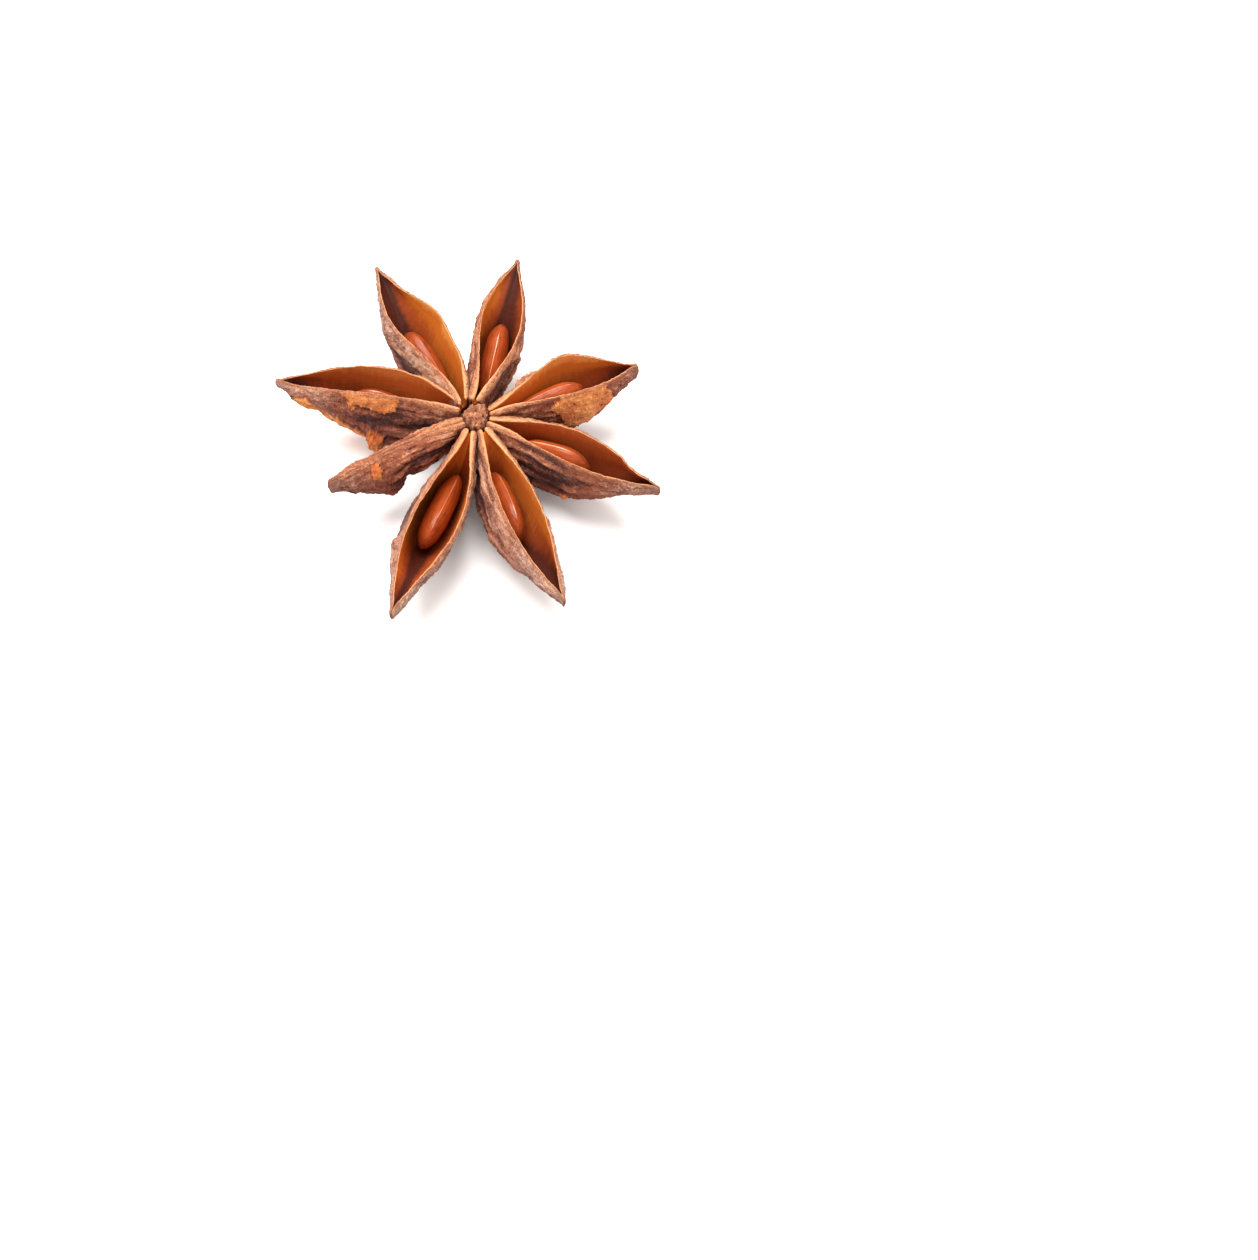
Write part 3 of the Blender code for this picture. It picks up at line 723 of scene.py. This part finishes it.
def carpelMarks(g, give, at, cut, across, up):
    # what the relief and the paint read
    look, s, side = carpelLook, at.s, at.side
    down = g.held((cut.top - up) / g.most(cut.depth, look["leastDepth"]))
    below = (1.0 - at.spread) * look["edgeAtKeel"]
    edge = g.blend(at.isRim, g.blend(at.isIn, -below, 1.0 + below), at.rimTurn)
    edge = g.blend(cut.opened, g.least(edge, 0.5), edge)        # 0 and 1 at a rim's two edges
    grain = g.xyz(at.longWay + at.grainShift * 3.0, across + at.isIn * look["innerGrain"], up)

    def around(perMm, detail, rough=0.55):
        place = g.xyz(at.longWay * perMm, across * perMm + at.grainShift, up * perMm)
        return g.grainNoise(place, 1.0, detail, rough)

    frayed = around(1.2, 4.0, 0.65)
    patchy = around(0.5, 2.0)
    clump = dryClump(g, give, at, down, frayed)
    tear = tornSkin(g, give, at, cut, down, frayed, patchy)
    tear = g.least(tear, look["clumpWhole"] - clump * give["clumpBare"])
    # painted shade along the middle of the hollow's floor, towards the tip
    valley = g.hump(at.spread, 0.0, look["valleyWide"]) * at.isIn * g.ease(s, *look["valleyFrom"])
    return {
        "edge": edge, "down": down, "along": s, "heart": at.butt, "valley": valley,
        "ribs": longRibs(g, at), "tear": tear,
        "clump": clump * give["clumpHigh"], "bright": g.most(clump, give["flange"] > look["leastFlange"]),
        "golden": give["golden"], "grey": give["grey"], "shaded": give["shaded"],
        # painted shade and painted light on one wall inside, and painted shade beside the column and towards
        # the tip
        "gloom": g.most(side * give["gloom"], 0.0), "wallLight": g.most(side * give["wallLight"], 0.0),
        "rootShade": give["rootShade"] * (1.0 - g.ease(s, *look["murkTo"])), "dusk": give["dusk"], "grain": grain}


# Heights are in mm. A noise is its stretch along, across and up, then its scale, detail, roughness and warp.
carpelRelief = {
    "wrinkles": 0.10, "creases": 0.10, "flakes": 0.30, "pits": 0.10, "fine": 0.05,
    "dents": 0.22, "ribs": 0.17,
    "creaseWide": 0.22, "flakesOver": 0.55,     # of the noises that make them
    "fold": 0.22,               # depth of the long fold below each lip
    "swollen": 0.13,            # how far the torn flesh stands above the skin
    "crumbs": 0.20, "fleshFine": 0.05, "clumpCrumbs": 2.4,
    "tearGroove": 0.10, "grooveAt": 1.05, "grooveWide": 0.07,
    "deepestRim": 0.12, "deepestWall": 0.16, "deepestKeel": 0.30,       # each on top of the one before
    "room": 0.07, "roomFrom": 0.12, "roomGrows": 1.6,       # for the relief, beside the next carpel
    "lining": 0.014,
    "noises": {
        "wrinkles": ((0.40, 1.0, 1.0), 1.9, 3.0, 0.5, 0.5),
        "creases": ((0.40, 1.0, 1.0), 1.25, 2.5, 0.5, 0.3),
        "flakes": ((1.0, 1.0, 1.0), 0.7, 3.0, 0.6), "pits": ((1.0, 1.0, 1.0), 3.2, 3.0, 0.6),
        "fine": ((1.0, 1.0, 1.0), 8.0, 2.0, 0.6), "dents": ((1.0, 1.0, 1.0), 0.32, 1.0),
        "crumbs": ((0.7, 1.0, 1.0), 1.7, 4.0, 0.65), "lining": ((3.5, 1.0, 0.5), 1.0, 3.0),
    },
}


def grainNoises(g, grain, noises):
    # noises that follow each piece's own grain
    return {name: g.grainNoise(g.vector("MULTIPLY", grain, stretch), *settings)
            for name, (stretch, *settings) in noises.items()}


def carpelRaised(g, geometry):
    # skin, torn flesh and lining stand up along the surface's own normal
    high = carpelRelief
    edge, tear, ribs, along, clump = (g.kept(name) for name in ("edge", "tear", "ribs", "along", "clump"))
    rough = grainNoises(g, g.kept("grain", "FLOAT_VECTOR"), high["noises"])
    creases = 1.0 - g.ease(abs(rough["creases"]), 0.0, high["creaseWide"])
    flakes = g.most(rough["flakes"] - high["flakesOver"], 0.0)
    dents = rough["dents"] * high["dents"]
    skin = (rough["wrinkles"] * high["wrinkles"] - creases * high["creases"] + rough["pits"] * high["pits"]
            + rough["fine"] * high["fine"] + flakes * high["flakes"] + dents + ribs * high["ribs"])
    skin = skin - g.hump(tear, high["grooveAt"], high["grooveWide"]) * high["tearGroove"]
    crumbs = rough["crumbs"] * high["crumbs"] + rough["fine"] * high["fleshFine"]
    outer = g.blend(g.ease(tear, 1.0, 0.92), skin, crumbs + high["swollen"] + dents)
    outer = outer + clump * (1.0 + high["clumpCrumbs"] * crumbs)

    # the creases stay inside the wall, which is thinnest at the rim and thickest at the keel
    deepest = high["deepestRim"] + high["deepestWall"] * (1.0 - g.ease(edge, -1.8, -0.3))
    deepest = deepest + high["deepestKeel"] * (1.0 - g.ease(edge, -5.5, -4.0))
    outer = g.most(outer, -deepest) * (1.0 - 0.5 * g.ease(edge, -0.6, 0.0))
    relief = g.blend(g.ease(edge, 0.6, 1.0), outer, rough["lining"] * high["lining"])
    relief = g.least(relief, high["room"] + g.most(along - high["roomFrom"], 0.0) * high["roomGrows"] + clump)
    relief = relief * g.ease(along, 0.0, 0.05) * (1.0 - 0.5 * g.ease(along, 0.95, 1.0))
    return g.raised(g.store(geometry, {"relief": relief}), -relief)     # the grid's normals point inwards


def carpelTree():
    tree, g, give = newTree("carpel", carpelInputs)
    grid, way, turn = g.grid(carpelLook)
    at = CarpelPlace(g, give, way, turn)
    cut = CarpelSection(g, give, at)
    across, up = boatWalls(g, give, at, cut)
    across, up = frayedLips(g, at, across, up)
    across, up = tornKeel(g, give, at, cut, across * at.side, up)
    across, up, reach = closedEnds(g, at, cut, across, up)
    marked = g.store(grid, carpelMarks(g, give, at, cut, across, up))
    placed = g.placed(marked, inStar(g, give, at, cut, across, up, reach))
    raised = carpelRaised(g, g.merged(placed, carpelLook["mergeWithin"]))

    # nothing goes below the surface that the star rests on
    x, y, z = g.position()
    g.finish(g.placed(raised, g.scaled(g.xyz(x, y, g.most(z, 0.0)), mm)))
    return tree


# Husk: dry and mottled outside, warm and smooth in the hollow, pale along the lips

huskPaint = {
    "dark": srgb(70, 31, 25), "middle": srgb(140, 74, 47), "pale": srgb(192, 130, 94),
    "greyDark": srgb(110, 77, 66), "greyPale": srgb(194, 154, 132), "bloom": srgb(214, 182, 164),
    # painted shade: a tint that darkens the skin low on the wall
    "lowShadeTint": (0.62, 0.40, 0.42, 1.0),
    "rimEdge": srgb(224, 160, 110), "rimMiddle": srgb(142, 82, 56),
    "torn": srgb(230, 164, 98), "tornMiddle": srgb(196, 112, 58), "tornDark": srgb(96, 42, 26),
    "clumpTint": (0.84, 0.66, 0.58, 1.0),
    # the lining's own colours at the lip, then darker ones that paint shade down the wall and deep in the
    # hollow; deep also colours the dark spots near the tip
    "goldenLip": srgb(240, 164, 82), "goldenWall": srgb(206, 112, 38), "goldenLow": srgb(150, 66, 26),
    "redLip": srgb(212, 122, 64), "redWall": srgb(184, 88, 38), "redLow": srgb(134, 56, 26),
    "deep": srgb(68, 27, 16),
    "skinRough": 0.85, "liningRough": 0.46, "speckRough": 0.05, "specular": 0.3,
    "bumpStrength": 0.9, "bumpDepth": 0.14,     # mm
}
huskNoises = {
    "clouds": ((1.0, 1.0, 1.0), 0.35, 3.0, 0.6), "blotch": ((0.6, 1.0, 1.0), 2.4, 4.0, 0.7),
    "speck": ((1.0, 1.0, 1.0), 5.5, 3.0, 0.7), "fibre": ((0.30, 4.0, 4.0), 1.6, 3.0, 0.6),
    "drips": ((3.0, 1.0, 0.4), 1.0),
}
# What makes each surface lighter or, with a minus sign, darker; the lining's are the other way round
huskTones = {
    # painted highlight and painted shade: the skin's proud and ribs weights make ridges lighter and furrows
    # darker, along with its own streaks, and its down weight darkens it low down
    "skin": {"proud": 2.4, "ribs": 0.70, "clouds": 0.30, "blotch": 0.55, "speck": 0.75, "fibre": 0.35,
             "down": -0.4},
    "weathered": {"grey": 1.0, "clouds": 0.35, "blotch": 0.2},
    # painted highlight: the flesh is lighter where its lumps stand proud, along with its own blotches and
    # specks
    "flesh": {"proud": 3.0, "blotch": 0.9, "speck": 0.9, "clouds": 0.4},
    "rim": {"speck": 0.7, "blotch": 0.5},
    # painted shade and painted light: the lining darkens deep down, along the valley and beside the column,
    # and lightens on a wall that is given light
    "lining": {"down": 1.0, "clouds": 0.10, "drips": 0.08, "fibre": 0.06, "valley": 0.75, "rootShade": 1.0,
               "wallLight": -1.0},
    "skinBump": {"speck": 0.6, "fibre": 0.6, "blotch": 0.5},
    "liningBump": {"fibre": 0.10, "speck": 0.04},
}


class HuskFields:
    # what the carpels' tree stored, and the noises
    def __init__(self, g):
        for name in ("edge", "relief", "down", "along", "tear", "ribs", "valley", "heart", "golden", "grey",
                     "shaded", "gloom", "wallLight", "rootShade", "dusk", "clump", "bright"):
            setattr(self, name, g.attribute(name))
        for name, rough in grainNoises(g, g.attribute("grain", "Vector"), huskNoises).items():
            setattr(self, name, rough)
        self.proud = self.relief - self.clump


def skinColour(g, seen):
    # painted highlight on its ridges and painted shade in its furrows, low down and towards the column where
    # given, over its own mottling; greyer where it has weathered
    paint, down, along = huskPaint, seen.down, seen.along
    tone = weighted(seen, huskTones["skin"]) - seen.shaded * (1.0 - g.ease(along, 0.35, 0.7)) * 0.5 + 0.30
    skin = g.shades(tone, paint["dark"], (-0.9, 0.1, paint["middle"]), (0.1, 1.1, paint["pale"]))
    ash = g.shades(tone, paint["greyDark"], (-0.7, 0.9, paint["greyPale"]))
    weathered = weighted(seen, huskTones["weathered"]) + 0.5 * g.ease(along, 0.60, 0.95)
    skin = g.mixColour(g.ease(weathered, 0.1, 1.3) * 0.8, skin, ash)
    bloom = g.ease(seen.speck * 0.5 + seen.blotch * 0.8 + weathered * 0.5, 0.2, 1.2)
    skin = g.mixColour(bloom * (1.0 - g.ease(down, 0.25, 0.7)) * 0.45, skin, paint["bloom"])
    # painted shade: the skin darkens low on the wall, less towards the tip and where shaded is below 0
    lowShade = g.ease(down + seen.clouds * 0.1, 0.10, 0.62) * (1.0 - 0.45 * g.ease(along, 0.45, 0.85))
    lowShade = lowShade * (1.0 - g.most(-seen.shaded, 0.0))
    return g.mixColour(lowShade * 0.8, skin, paint["lowShadeTint"], "MULTIPLY")


def fleshOver(g, seen, skin):
    # bare flesh where the skin has come away, painted darker lower down as painted shade, and with a dark
    # seam round it as a painted shadow
    paint, tear = huskPaint, seen.tear
    # painted highlight on the proud lumps, and painted shade lower down except on clumps and flanges
    lumps = weighted(seen, huskTones["flesh"]) - 0.1 - g.blend(seen.bright, seen.down * 1.2, 0.1)
    flesh = g.shades(lumps, paint["tornDark"], (-1.0, -0.1, paint["tornMiddle"]), (-0.1, 0.9, paint["torn"]))
    flesh = g.mixColour(g.ease(seen.clump, 0.05, 0.35), flesh, paint["clumpTint"], "MULTIPLY")
    bare = g.ease(tear + seen.speck * 0.15 + seen.blotch * 0.12, 1.10, 0.92)
    # painted shadow: a dark seam along the edge of the torn skin
    seam = g.hump(tear, 1.08, 0.06) * g.ease(seen.blotch, -0.3, 0.5)
    return g.mixColour(seam * 0.5, g.mixColour(bare, skin, flesh), paint["dark"])


def rimOver(g, seen, outer):
    # brown and speckled lips, with a pale frayed line along their inner edge, partly their own colour and
    # partly painted highlight, and a painted highlight on each finger's crest beside the column
    paint, edge, along = huskPaint, seen.edge, seen.along
    # the pale fringe is partly the lips' own colour and partly painted highlight; the paler crest beside the
    # column is a painted highlight
    fringe = g.hump(edge, 0.85, 0.30) + 0.45 * g.hump(edge, 0.05, 0.2)
    crest = g.hump(edge, 0.6, 0.35) * (1.0 - g.ease(along, 0.1, 0.4))       # paler beside the column
    tone = fringe + weighted(seen, huskTones["rim"]) + 0.35 * crest
    rim = g.shades(tone, paint["rimMiddle"], (0.0, 1.2, paint["rimEdge"]))
    outer = g.mixColour(g.ease(edge, -0.25, 0.05) * 0.85, outer, rim)
    return g.mixColour(g.ease(along, 0.90, 1.0) * 0.4, outer, paint["greyDark"])


def liningColour(g, seen):
    # painted shade: bright at the lip, redder down the wall, deep brown in the valley, beside the column and
    # at the tip, and darker on some walls and lighter on others where given; the dark spots towards the tip
    # are the lining's own
    paint, down, along = huskPaint, seen.down, seen.along
    shade = weighted(seen, huskTones["lining"])
    # painted shade towards the tip and beside the column
    shade = shade + 0.55 * g.ease(along, 0.76, 1.0) + 0.3 * (1.0 - g.ease(along, 0.0, 0.2))
    # painted shade and painted light on one wall
    shade = shade + seen.gloom * (0.5 + g.ease(down, 0.0, 0.4))
    # painted shade deep down towards the tip
    shade = shade + seen.dusk * g.ease(along, 0.45, 0.80) * g.ease(down, 0.12, 0.50)
    lip, wall, low = (g.mixColour(seen.golden, paint["red" + part], paint["golden" + part])
                      for part in ("Lip", "Wall", "Low"))
    lining = g.shades(shade, lip, (0.02, 0.24, wall), (0.30, 0.68, low), (0.62, 1.15, paint["deep"]))
    dots = g.ease(seen.speck + seen.blotch * 0.5, 0.3, 0.8) * g.ease(along + seen.clouds * 0.05, 0.80, 0.95)
    return g.mixColour(dots * 0.8, lining, paint["deep"])


def huskMaterial():
    material, g, shader = newMaterial("dryHusk")
    paint, seen = huskPaint, HuskFields(g)
    outer = rimOver(g, seen, fleshOver(g, seen, skinColour(g, seen)))
    colour = g.mixColour(g.ease(seen.edge, 0.80, 1.05), outer, liningColour(g, seen))
    # painted shade: each carpel's closed butt, deep beside the column, is painted dark
    colour = g.mixColour(g.ease(seen.heart, 0.45, 0.75), colour, paint["dark"])
    g.plug(colour, shader.inputs["Base Color"])

    inside = g.ease(seen.edge, 0.6, 1.0)
    rough = g.blend(inside, paint["skinRough"], paint["liningRough"]) + seen.speck * paint["speckRough"]
    g.plug(rough, shader.inputs["Roughness"])
    shader.inputs["Specular IOR Level"].default_value = paint["specular"]
    height = g.blend(inside, weighted(seen, huskTones["skinBump"]), weighted(seen, huskTones["liningBump"]))
    g.bump(shader, paint["bumpStrength"], paint["bumpDepth"], height)
    return material


huskFinish = huskMaterial()
boatTree = carpelTree()
for number, sizes in carpels.items():
    piece = grow("carpel_" + number, boatTree, {**carpelDefaults, **sizes, "seed": float(number)}, huskFinish)
    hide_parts("pericarp")
    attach(piece, "root")
print("carpels grown:", len(carpels))


# Column: the rough disc that the carpels stand round, and the stalk's scar below

columnLook = {
    "sides": 180,
    "profile": (    # radius and height in mm, from the scar below to the disc on top
        (0.0, 1.30), (0.85, 1.25), (1.10, 1.0), (1.35, 0.90), (1.9, 1.15), (2.1, 2.0), (2.45, 3.2),
        (2.45, 5.3), (2.0, 5.8), (1.2, 6.1), (1.08, 6.5), (1.08, 7.35), (1.0, 7.60), (0.84, 7.66),
        (0.55, 7.58), (0.25, 7.48), (0.0, 7.45)),
    "stepsPerSpan": 9,
    "discFrom": 5.6, "discOver": 0.8,   # mm, where the disc's oval and cracks set in
    "oval": 1.26,                       # the disc's length over its width
    "lobes": 0.20, "cracks": 0.17, "rough": 0.10,
    "crackTurns": ((4.0, 0.0, 0.6), (6.5, 1.0, 0.4)),       # half their number, their turn and share
    "crackSharp": 0.4, "crackFrom": 0.6,        # mm from the middle, where they reach full depth
    "crackDip": 1.4,                    # how much deeper they are cut into the top than the side
    "wander": 0.5,                      # radians that the cracks stray to a side
    "wanderGrain": 1.3, "lobeGrain": 2.2, "roughGrain": 2.4,    # per mm, or per radius
    "dark": srgb(62, 30, 20), "middle": srgb(138, 82, 54), "pale": srgb(196, 140, 98),
    "roughness": 0.85, "bumpStrength": 0.6, "bumpDepth": 0.08,      # mm
}


def columnPoint(turn, radius, height):
    # where the column's skin lies, and how deep in a crack that is
    look = columnLook
    upper = min(max((height - look["discFrom"]) / look["discOver"], 0.0), 1.0)
    spot = Vector((math.cos(turn), math.sin(turn), 0.0))
    drift = Vector((0.0, 0.0, radius * 1.5))
    wander = turn + look["wander"] * noise.noise(spot * look["wanderGrain"] + drift)
    drift = Vector((2.0, 0.0, height * 0.15))
    lobe = 1.0 + look["lobes"] * noise.noise(spot * look["lobeGrain"] + drift)
    ribs = sum(abs(math.sin(wander * count + start)) ** look["crackSharp"] * share
               for count, start, share in look["crackTurns"])
    crack = (1.0 - ribs) * min(radius / look["crackFrom"], 1.0)
    stretch = Vector((1.0, 1.0 + (look["oval"] - 1.0) * upper, 1.0))
    place = spot * radius * lobe * (1.0 - look["cracks"] * crack) * stretch
    grain = Vector((place.x, place.y, height * 0.7)) * look["roughGrain"]
    bump = noise.fractal(grain, 0.7, 2.1, 4) * look["rough"]
    place = place + spot * bump
    place.z = height + (bump * 2.0 - look["cracks"] * look["crackDip"] * crack) * upper
    # the second value, a crack's depth less the bump, is what the paint darkens as painted shade
    return place, crack - bump * 5.0


def columnProfile():
    # the profile with points in between
    profile = []
    for (r0, z0), (r1, z1) in zip(columnLook["profile"], columnLook["profile"][1:]):
        for i in range(columnLook["stepsPerSpan"]):
            share = i / columnLook["stepsPerSpan"]
            profile.append((r0 + (r1 - r0) * share, z0 + (z1 - z0) * share))
    return profile + [columnLook["profile"][-1]]


def makeColumn(material):
    # a lathe of rough rings; a point on the axis is a ring of one
    sides = columnLook["sides"]
    offset = Vector((star["columnX"], star["columnY"], 0.0))
    builder = bmesh.new()
    depthLayer = builder.verts.layers.float.new("crack")
    rings = []
    for radius, height in columnProfile():
        ring = []
        for i in range(sides if radius else 1):
            place, crack = columnPoint(math.tau * i / sides, radius, height)
            vert = builder.verts.new((place + offset) * mm)
            vert[depthLayer] = crack
            ring.append(vert)
        rings.append(ring)
    for lower, upper in zip(rings, rings[1:]):
        for i in range(sides):
            j = (i + 1) % sides
            corners = [lower[i % len(lower)], lower[j % len(lower)],
                       upper[j % len(upper)], upper[i % len(upper)]]
            builder.faces.new(list(dict.fromkeys(corners)))
    bmesh.ops.recalc_face_normals(builder, faces=builder.faces)
    mesh = bpy.data.meshes.new("column")
    builder.to_mesh(mesh)
    builder.free()
    mesh.materials.append(material)
    return asPiece("column", mesh)


def columnMaterial():
    material, g, shader = newMaterial("columnWood")
    look = columnLook
    place = g.scaled(g.node("ShaderNodeTexCoord").outputs["Object"], 1.0 / mm)
    blotch = g.grainNoise(place, 1.5, 4.0, 0.65)
    speck = g.grainNoise(place, 7.0, 3.0, 0.7)
    # painted shade: darker in the cracks and between the bumps, lighter on the bumps
    tone = blotch * 0.8 + speck * 0.35 - g.attribute("crack") * 0.9 + 0.15
    colour = g.shades(tone, look["dark"], (-0.8, 0.0, look["middle"]), (0.0, 0.9, look["pale"]))
    g.plug(colour, shader.inputs["Base Color"])
    shader.inputs["Roughness"].default_value = look["roughness"]
    g.bump(shader, look["bumpStrength"], look["bumpDepth"], blotch + speck * 0.5)
    return material


column = makeColumn(columnMaterial())
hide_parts("pericarp")
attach(column, "root")
print("column made")


# Seeds: glossy, with a blunt hilum at the column's end and a fine edge all round

seedLook = {
    "alongSteps": 72, "roundSteps": 96,
    "mergeWithin": 0.002,                   # mm
    "bluntness": 2.8,                       # of both ends
    "slimmer": 0.06, "thinnerHilum": 0.05,
    "cheek": 1.1,                           # the higher, the flatter the cheeks' edges
    "seamHigh": 0.055, "seamWide": 0.14,    # mm, and share of the girth
    "lowerThinner": 0.18,
    "dents": 0.06,                          # mm
    # each seed is painted darker by its share: partly its own colour and partly painted shade
    "dim": {"seed_1": 0.3, "seed_2": 0.25, "seed_3": 0.1, "seed_4": 0.2, "seed_5": 0.5, "seed_6": 0.4,
            "seed_8": 0.7},                 # how much darker each one is
}


def seedTree():
    tree, g, give = newTree("seed", ("halfLength", "halfDepth", "halfThickness", "dim", "seed"))
    look = seedLook
    grid, way, turnShare = g.grid(look)
    along = -g.cosine(way * pi)
    turn = turnShare * math.tau
    girth = g.most(1.0 - abs(along) ** look["bluntness"], 0.0) ** 0.5
    girth = girth * (1.0 - look["slimmer"] * along ** 2.0 + look["thinnerHilum"] * along)
    side = g.cosine(turn)
    up = g.sine(turn)

    # flatter cheeks, and a raised line where they meet
    cheek = abs(side) ** look["cheek"] * ((side > 0.0) * 2.0 - 1.0)
    seam = 1.0 - g.ease(abs(side), 0.0, look["seamWide"])
    x = along * give["halfLength"]
    y = girth * up * (give["halfDepth"] + seam * look["seamHigh"])
    z = girth * cheek * give["halfThickness"] * (1.0 - look["lowerThinner"] * g.ease(-up, 0.0, 1.0))
    marked = g.store(grid, {"along": along, "seam": seam, "dim": give["dim"],
                            "grain": g.xyz(x + give["seed"] * 9.0, y, z)})
    merged = g.merged(g.placed(marked, g.xyz(x, y, z)), look["mergeWithin"])
    dents = g.grainNoise(g.kept("grain", "FLOAT_VECTOR"), 0.55, 2.0) * look["dents"]
    g.finish(g.raised(merged, dents))
    return tree


seedPaint = {
    "bright": srgb(196, 100, 44), "middle": srgb(154, 68, 28), "dark": srgb(92, 35, 16),
    # line is the colour of the painted highlight along each seed's crest
    "line": srgb(236, 168, 126), "hilum": srgb(62, 25, 16), "dimmed": (0.60, 0.52, 0.50, 1.0),
    "roughness": 0.30, "streakRough": 0.06, "glintSmooth": 0.14, "specular": 0.18,
    "coat": 0.06, "glintCoat": 0.8, "coatRoughness": 0.10,
    "bumpStrength": 0.7, "bumpDepth": 0.05,     # mm
}


def seedMaterial():
    material, g, shader = newMaterial("seedCoat")
    paint = seedPaint
    grain = g.attribute("grain", "Vector")
    along, seam, dim = (g.attribute(name) for name in ("along", "seam", "dim"))
    clouds = g.grainNoise(grain, 0.7, 3.0, 0.55)
    streak = g.grainNoise(g.vector("MULTIPLY", grain, (0.12, 2.5, 2.5)), 1.3, 3.0, 0.6)
    # painted highlight: the seam is painted a little paler, and a pale glint line along its crest, where the
    # coat is glossier too
    tone = clouds * 0.5 + streak * 0.38 + seam * 0.15 - 0.25 * abs(along) ** 3.0
    colour = g.shades(tone, paint["dark"], (-0.8, 0.1, paint["middle"]), (0.0, 0.9, paint["bright"]))
    glint = g.ease(seam + streak * 0.5, 0.60, 1.05) * (1.0 - g.ease(abs(along), 0.45, 0.85))
    colour = g.mixColour(glint * 0.8, colour, paint["line"])
    colour = g.mixColour(g.ease(-along, 0.90, 1.0) * 0.8, colour, paint["hilum"])
    # partly painted shade: each seed darkened by its own share
    colour = g.mixColour(dim, colour, paint["dimmed"], "MULTIPLY")
    g.plug(colour, shader.inputs["Base Color"])
    rough = paint["roughness"] + streak * paint["streakRough"] - glint * paint["glintSmooth"]
    g.plug(rough, shader.inputs["Roughness"])
    shader.inputs["Specular IOR Level"].default_value = paint["specular"]
    g.plug(paint["coat"] + glint * paint["glintCoat"], shader.inputs["Coat Weight"])
    shader.inputs["Coat Roughness"].default_value = paint["coatRoughness"]
    g.bump(shader, paint["bumpStrength"], paint["bumpDepth"], streak)
    return material


def measured(node):
    # centre, axes (length, depth, thickness) and half sizes of a seed's solid, in metres
    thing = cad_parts[node]
    points = np.array([thing.matrix_world @ vert.co for vert in thing.data.vertices])
    points = np.unique(np.round(points, 7), axis=0)
    middle = (points.min(axis=0) + points.max(axis=0)) / 2
    _, _, axes = np.linalg.svd(points - points.mean(axis=0), full_matrices=False)
    spans = (points - middle) @ axes.T
    centre = middle + ((spans.max(axis=0) + spans.min(axis=0)) / 2) @ axes
    halves = (spans.max(axis=0) - spans.min(axis=0)) / 2
    length, depth, _ = (Vector(axis) for axis in axes)
    outward = Vector(centre) - Vector((star["columnX"] * mm, star["columnY"] * mm, centre[2]))
    if length.dot(outward) < 0.0:
        length.negate()
    if depth.z < 0.0:
        depth.negate()
    return Vector(centre), (length, depth, length.cross(depth)), halves


seedFinish = seedMaterial()
kernelTree = seedTree()
seedNodes = sorted(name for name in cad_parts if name.startswith("seed_"))
for name in seedNodes:
    centre, axes, halves = measured(name)
    values = {"halfLength": halves[0] / mm, "halfDepth": halves[1] / mm, "halfThickness": halves[2] / mm,
              "dim": seedLook["dim"].get(name, 0.0), "seed": float(name.split("_")[1])}
    piece = grow(name + "_kernel", kernelTree, values, seedFinish)
    stand = Matrix(axes).transposed().to_4x4()
    piece.data.transform(Matrix.Translation(centre) @ stand @ Matrix.Scale(mm, 4))
    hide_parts(name)
    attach(piece, "root")
print("seeds grown:", len(seedNodes))


# Floor and light

studio = {
    "floorSize": 3.0, "floorColour": (0.94, 0.935, 0.93, 1.0), "floorRoughness": 0.9,
    "worldStrength": 1.27, "worldColour": (1.0, 0.96, 0.935, 1.0),
    "keyPlace": (-0.05, 0.09, 0.37), "keySize": 0.28, "keyPower": 2.5,
}


def makeFloor():
    half = studio["floorSize"] / 2
    corners = [(-half, -half, 0), (half, -half, 0), (half, half, 0), (-half, half, 0)]
    mesh = bpy.data.meshes.new("floor")
    mesh.from_pydata(corners, [], [(0, 1, 2, 3)])
    floor = bpy.data.objects.new("floor", mesh)
    bpy.context.scene.collection.objects.link(floor)
    material, _, shader = newMaterial("paleFloor")
    shader.inputs["Base Color"].default_value = studio["floorColour"]
    shader.inputs["Roughness"].default_value = studio["floorRoughness"]
    mesh.materials.append(material)


def makeKeyLight():
    # a round soft light that faces the star
    data = bpy.data.lights.new("key", "AREA")
    data.shape = "DISK"
    data.size = studio["keySize"]
    data.energy = studio["keyPower"]
    light = bpy.data.objects.new("key", data)
    light.location = studio["keyPlace"]
    light.rotation_euler = Vector(studio["keyPlace"]).to_track_quat("Z", "Y").to_euler()
    bpy.context.scene.collection.objects.link(light)


def makeWorld():
    world = bpy.data.worlds.new("studio")
    world.use_nodes = True
    background = world.node_tree.nodes["Background"]
    background.inputs["Color"].default_value = studio["worldColour"]
    background.inputs["Strength"].default_value = studio["worldStrength"]
    bpy.context.scene.world = world
    bpy.context.scene.view_settings.view_transform = "Standard"


makeFloor()
makeKeyLight()
makeWorld()
print("studio lit")
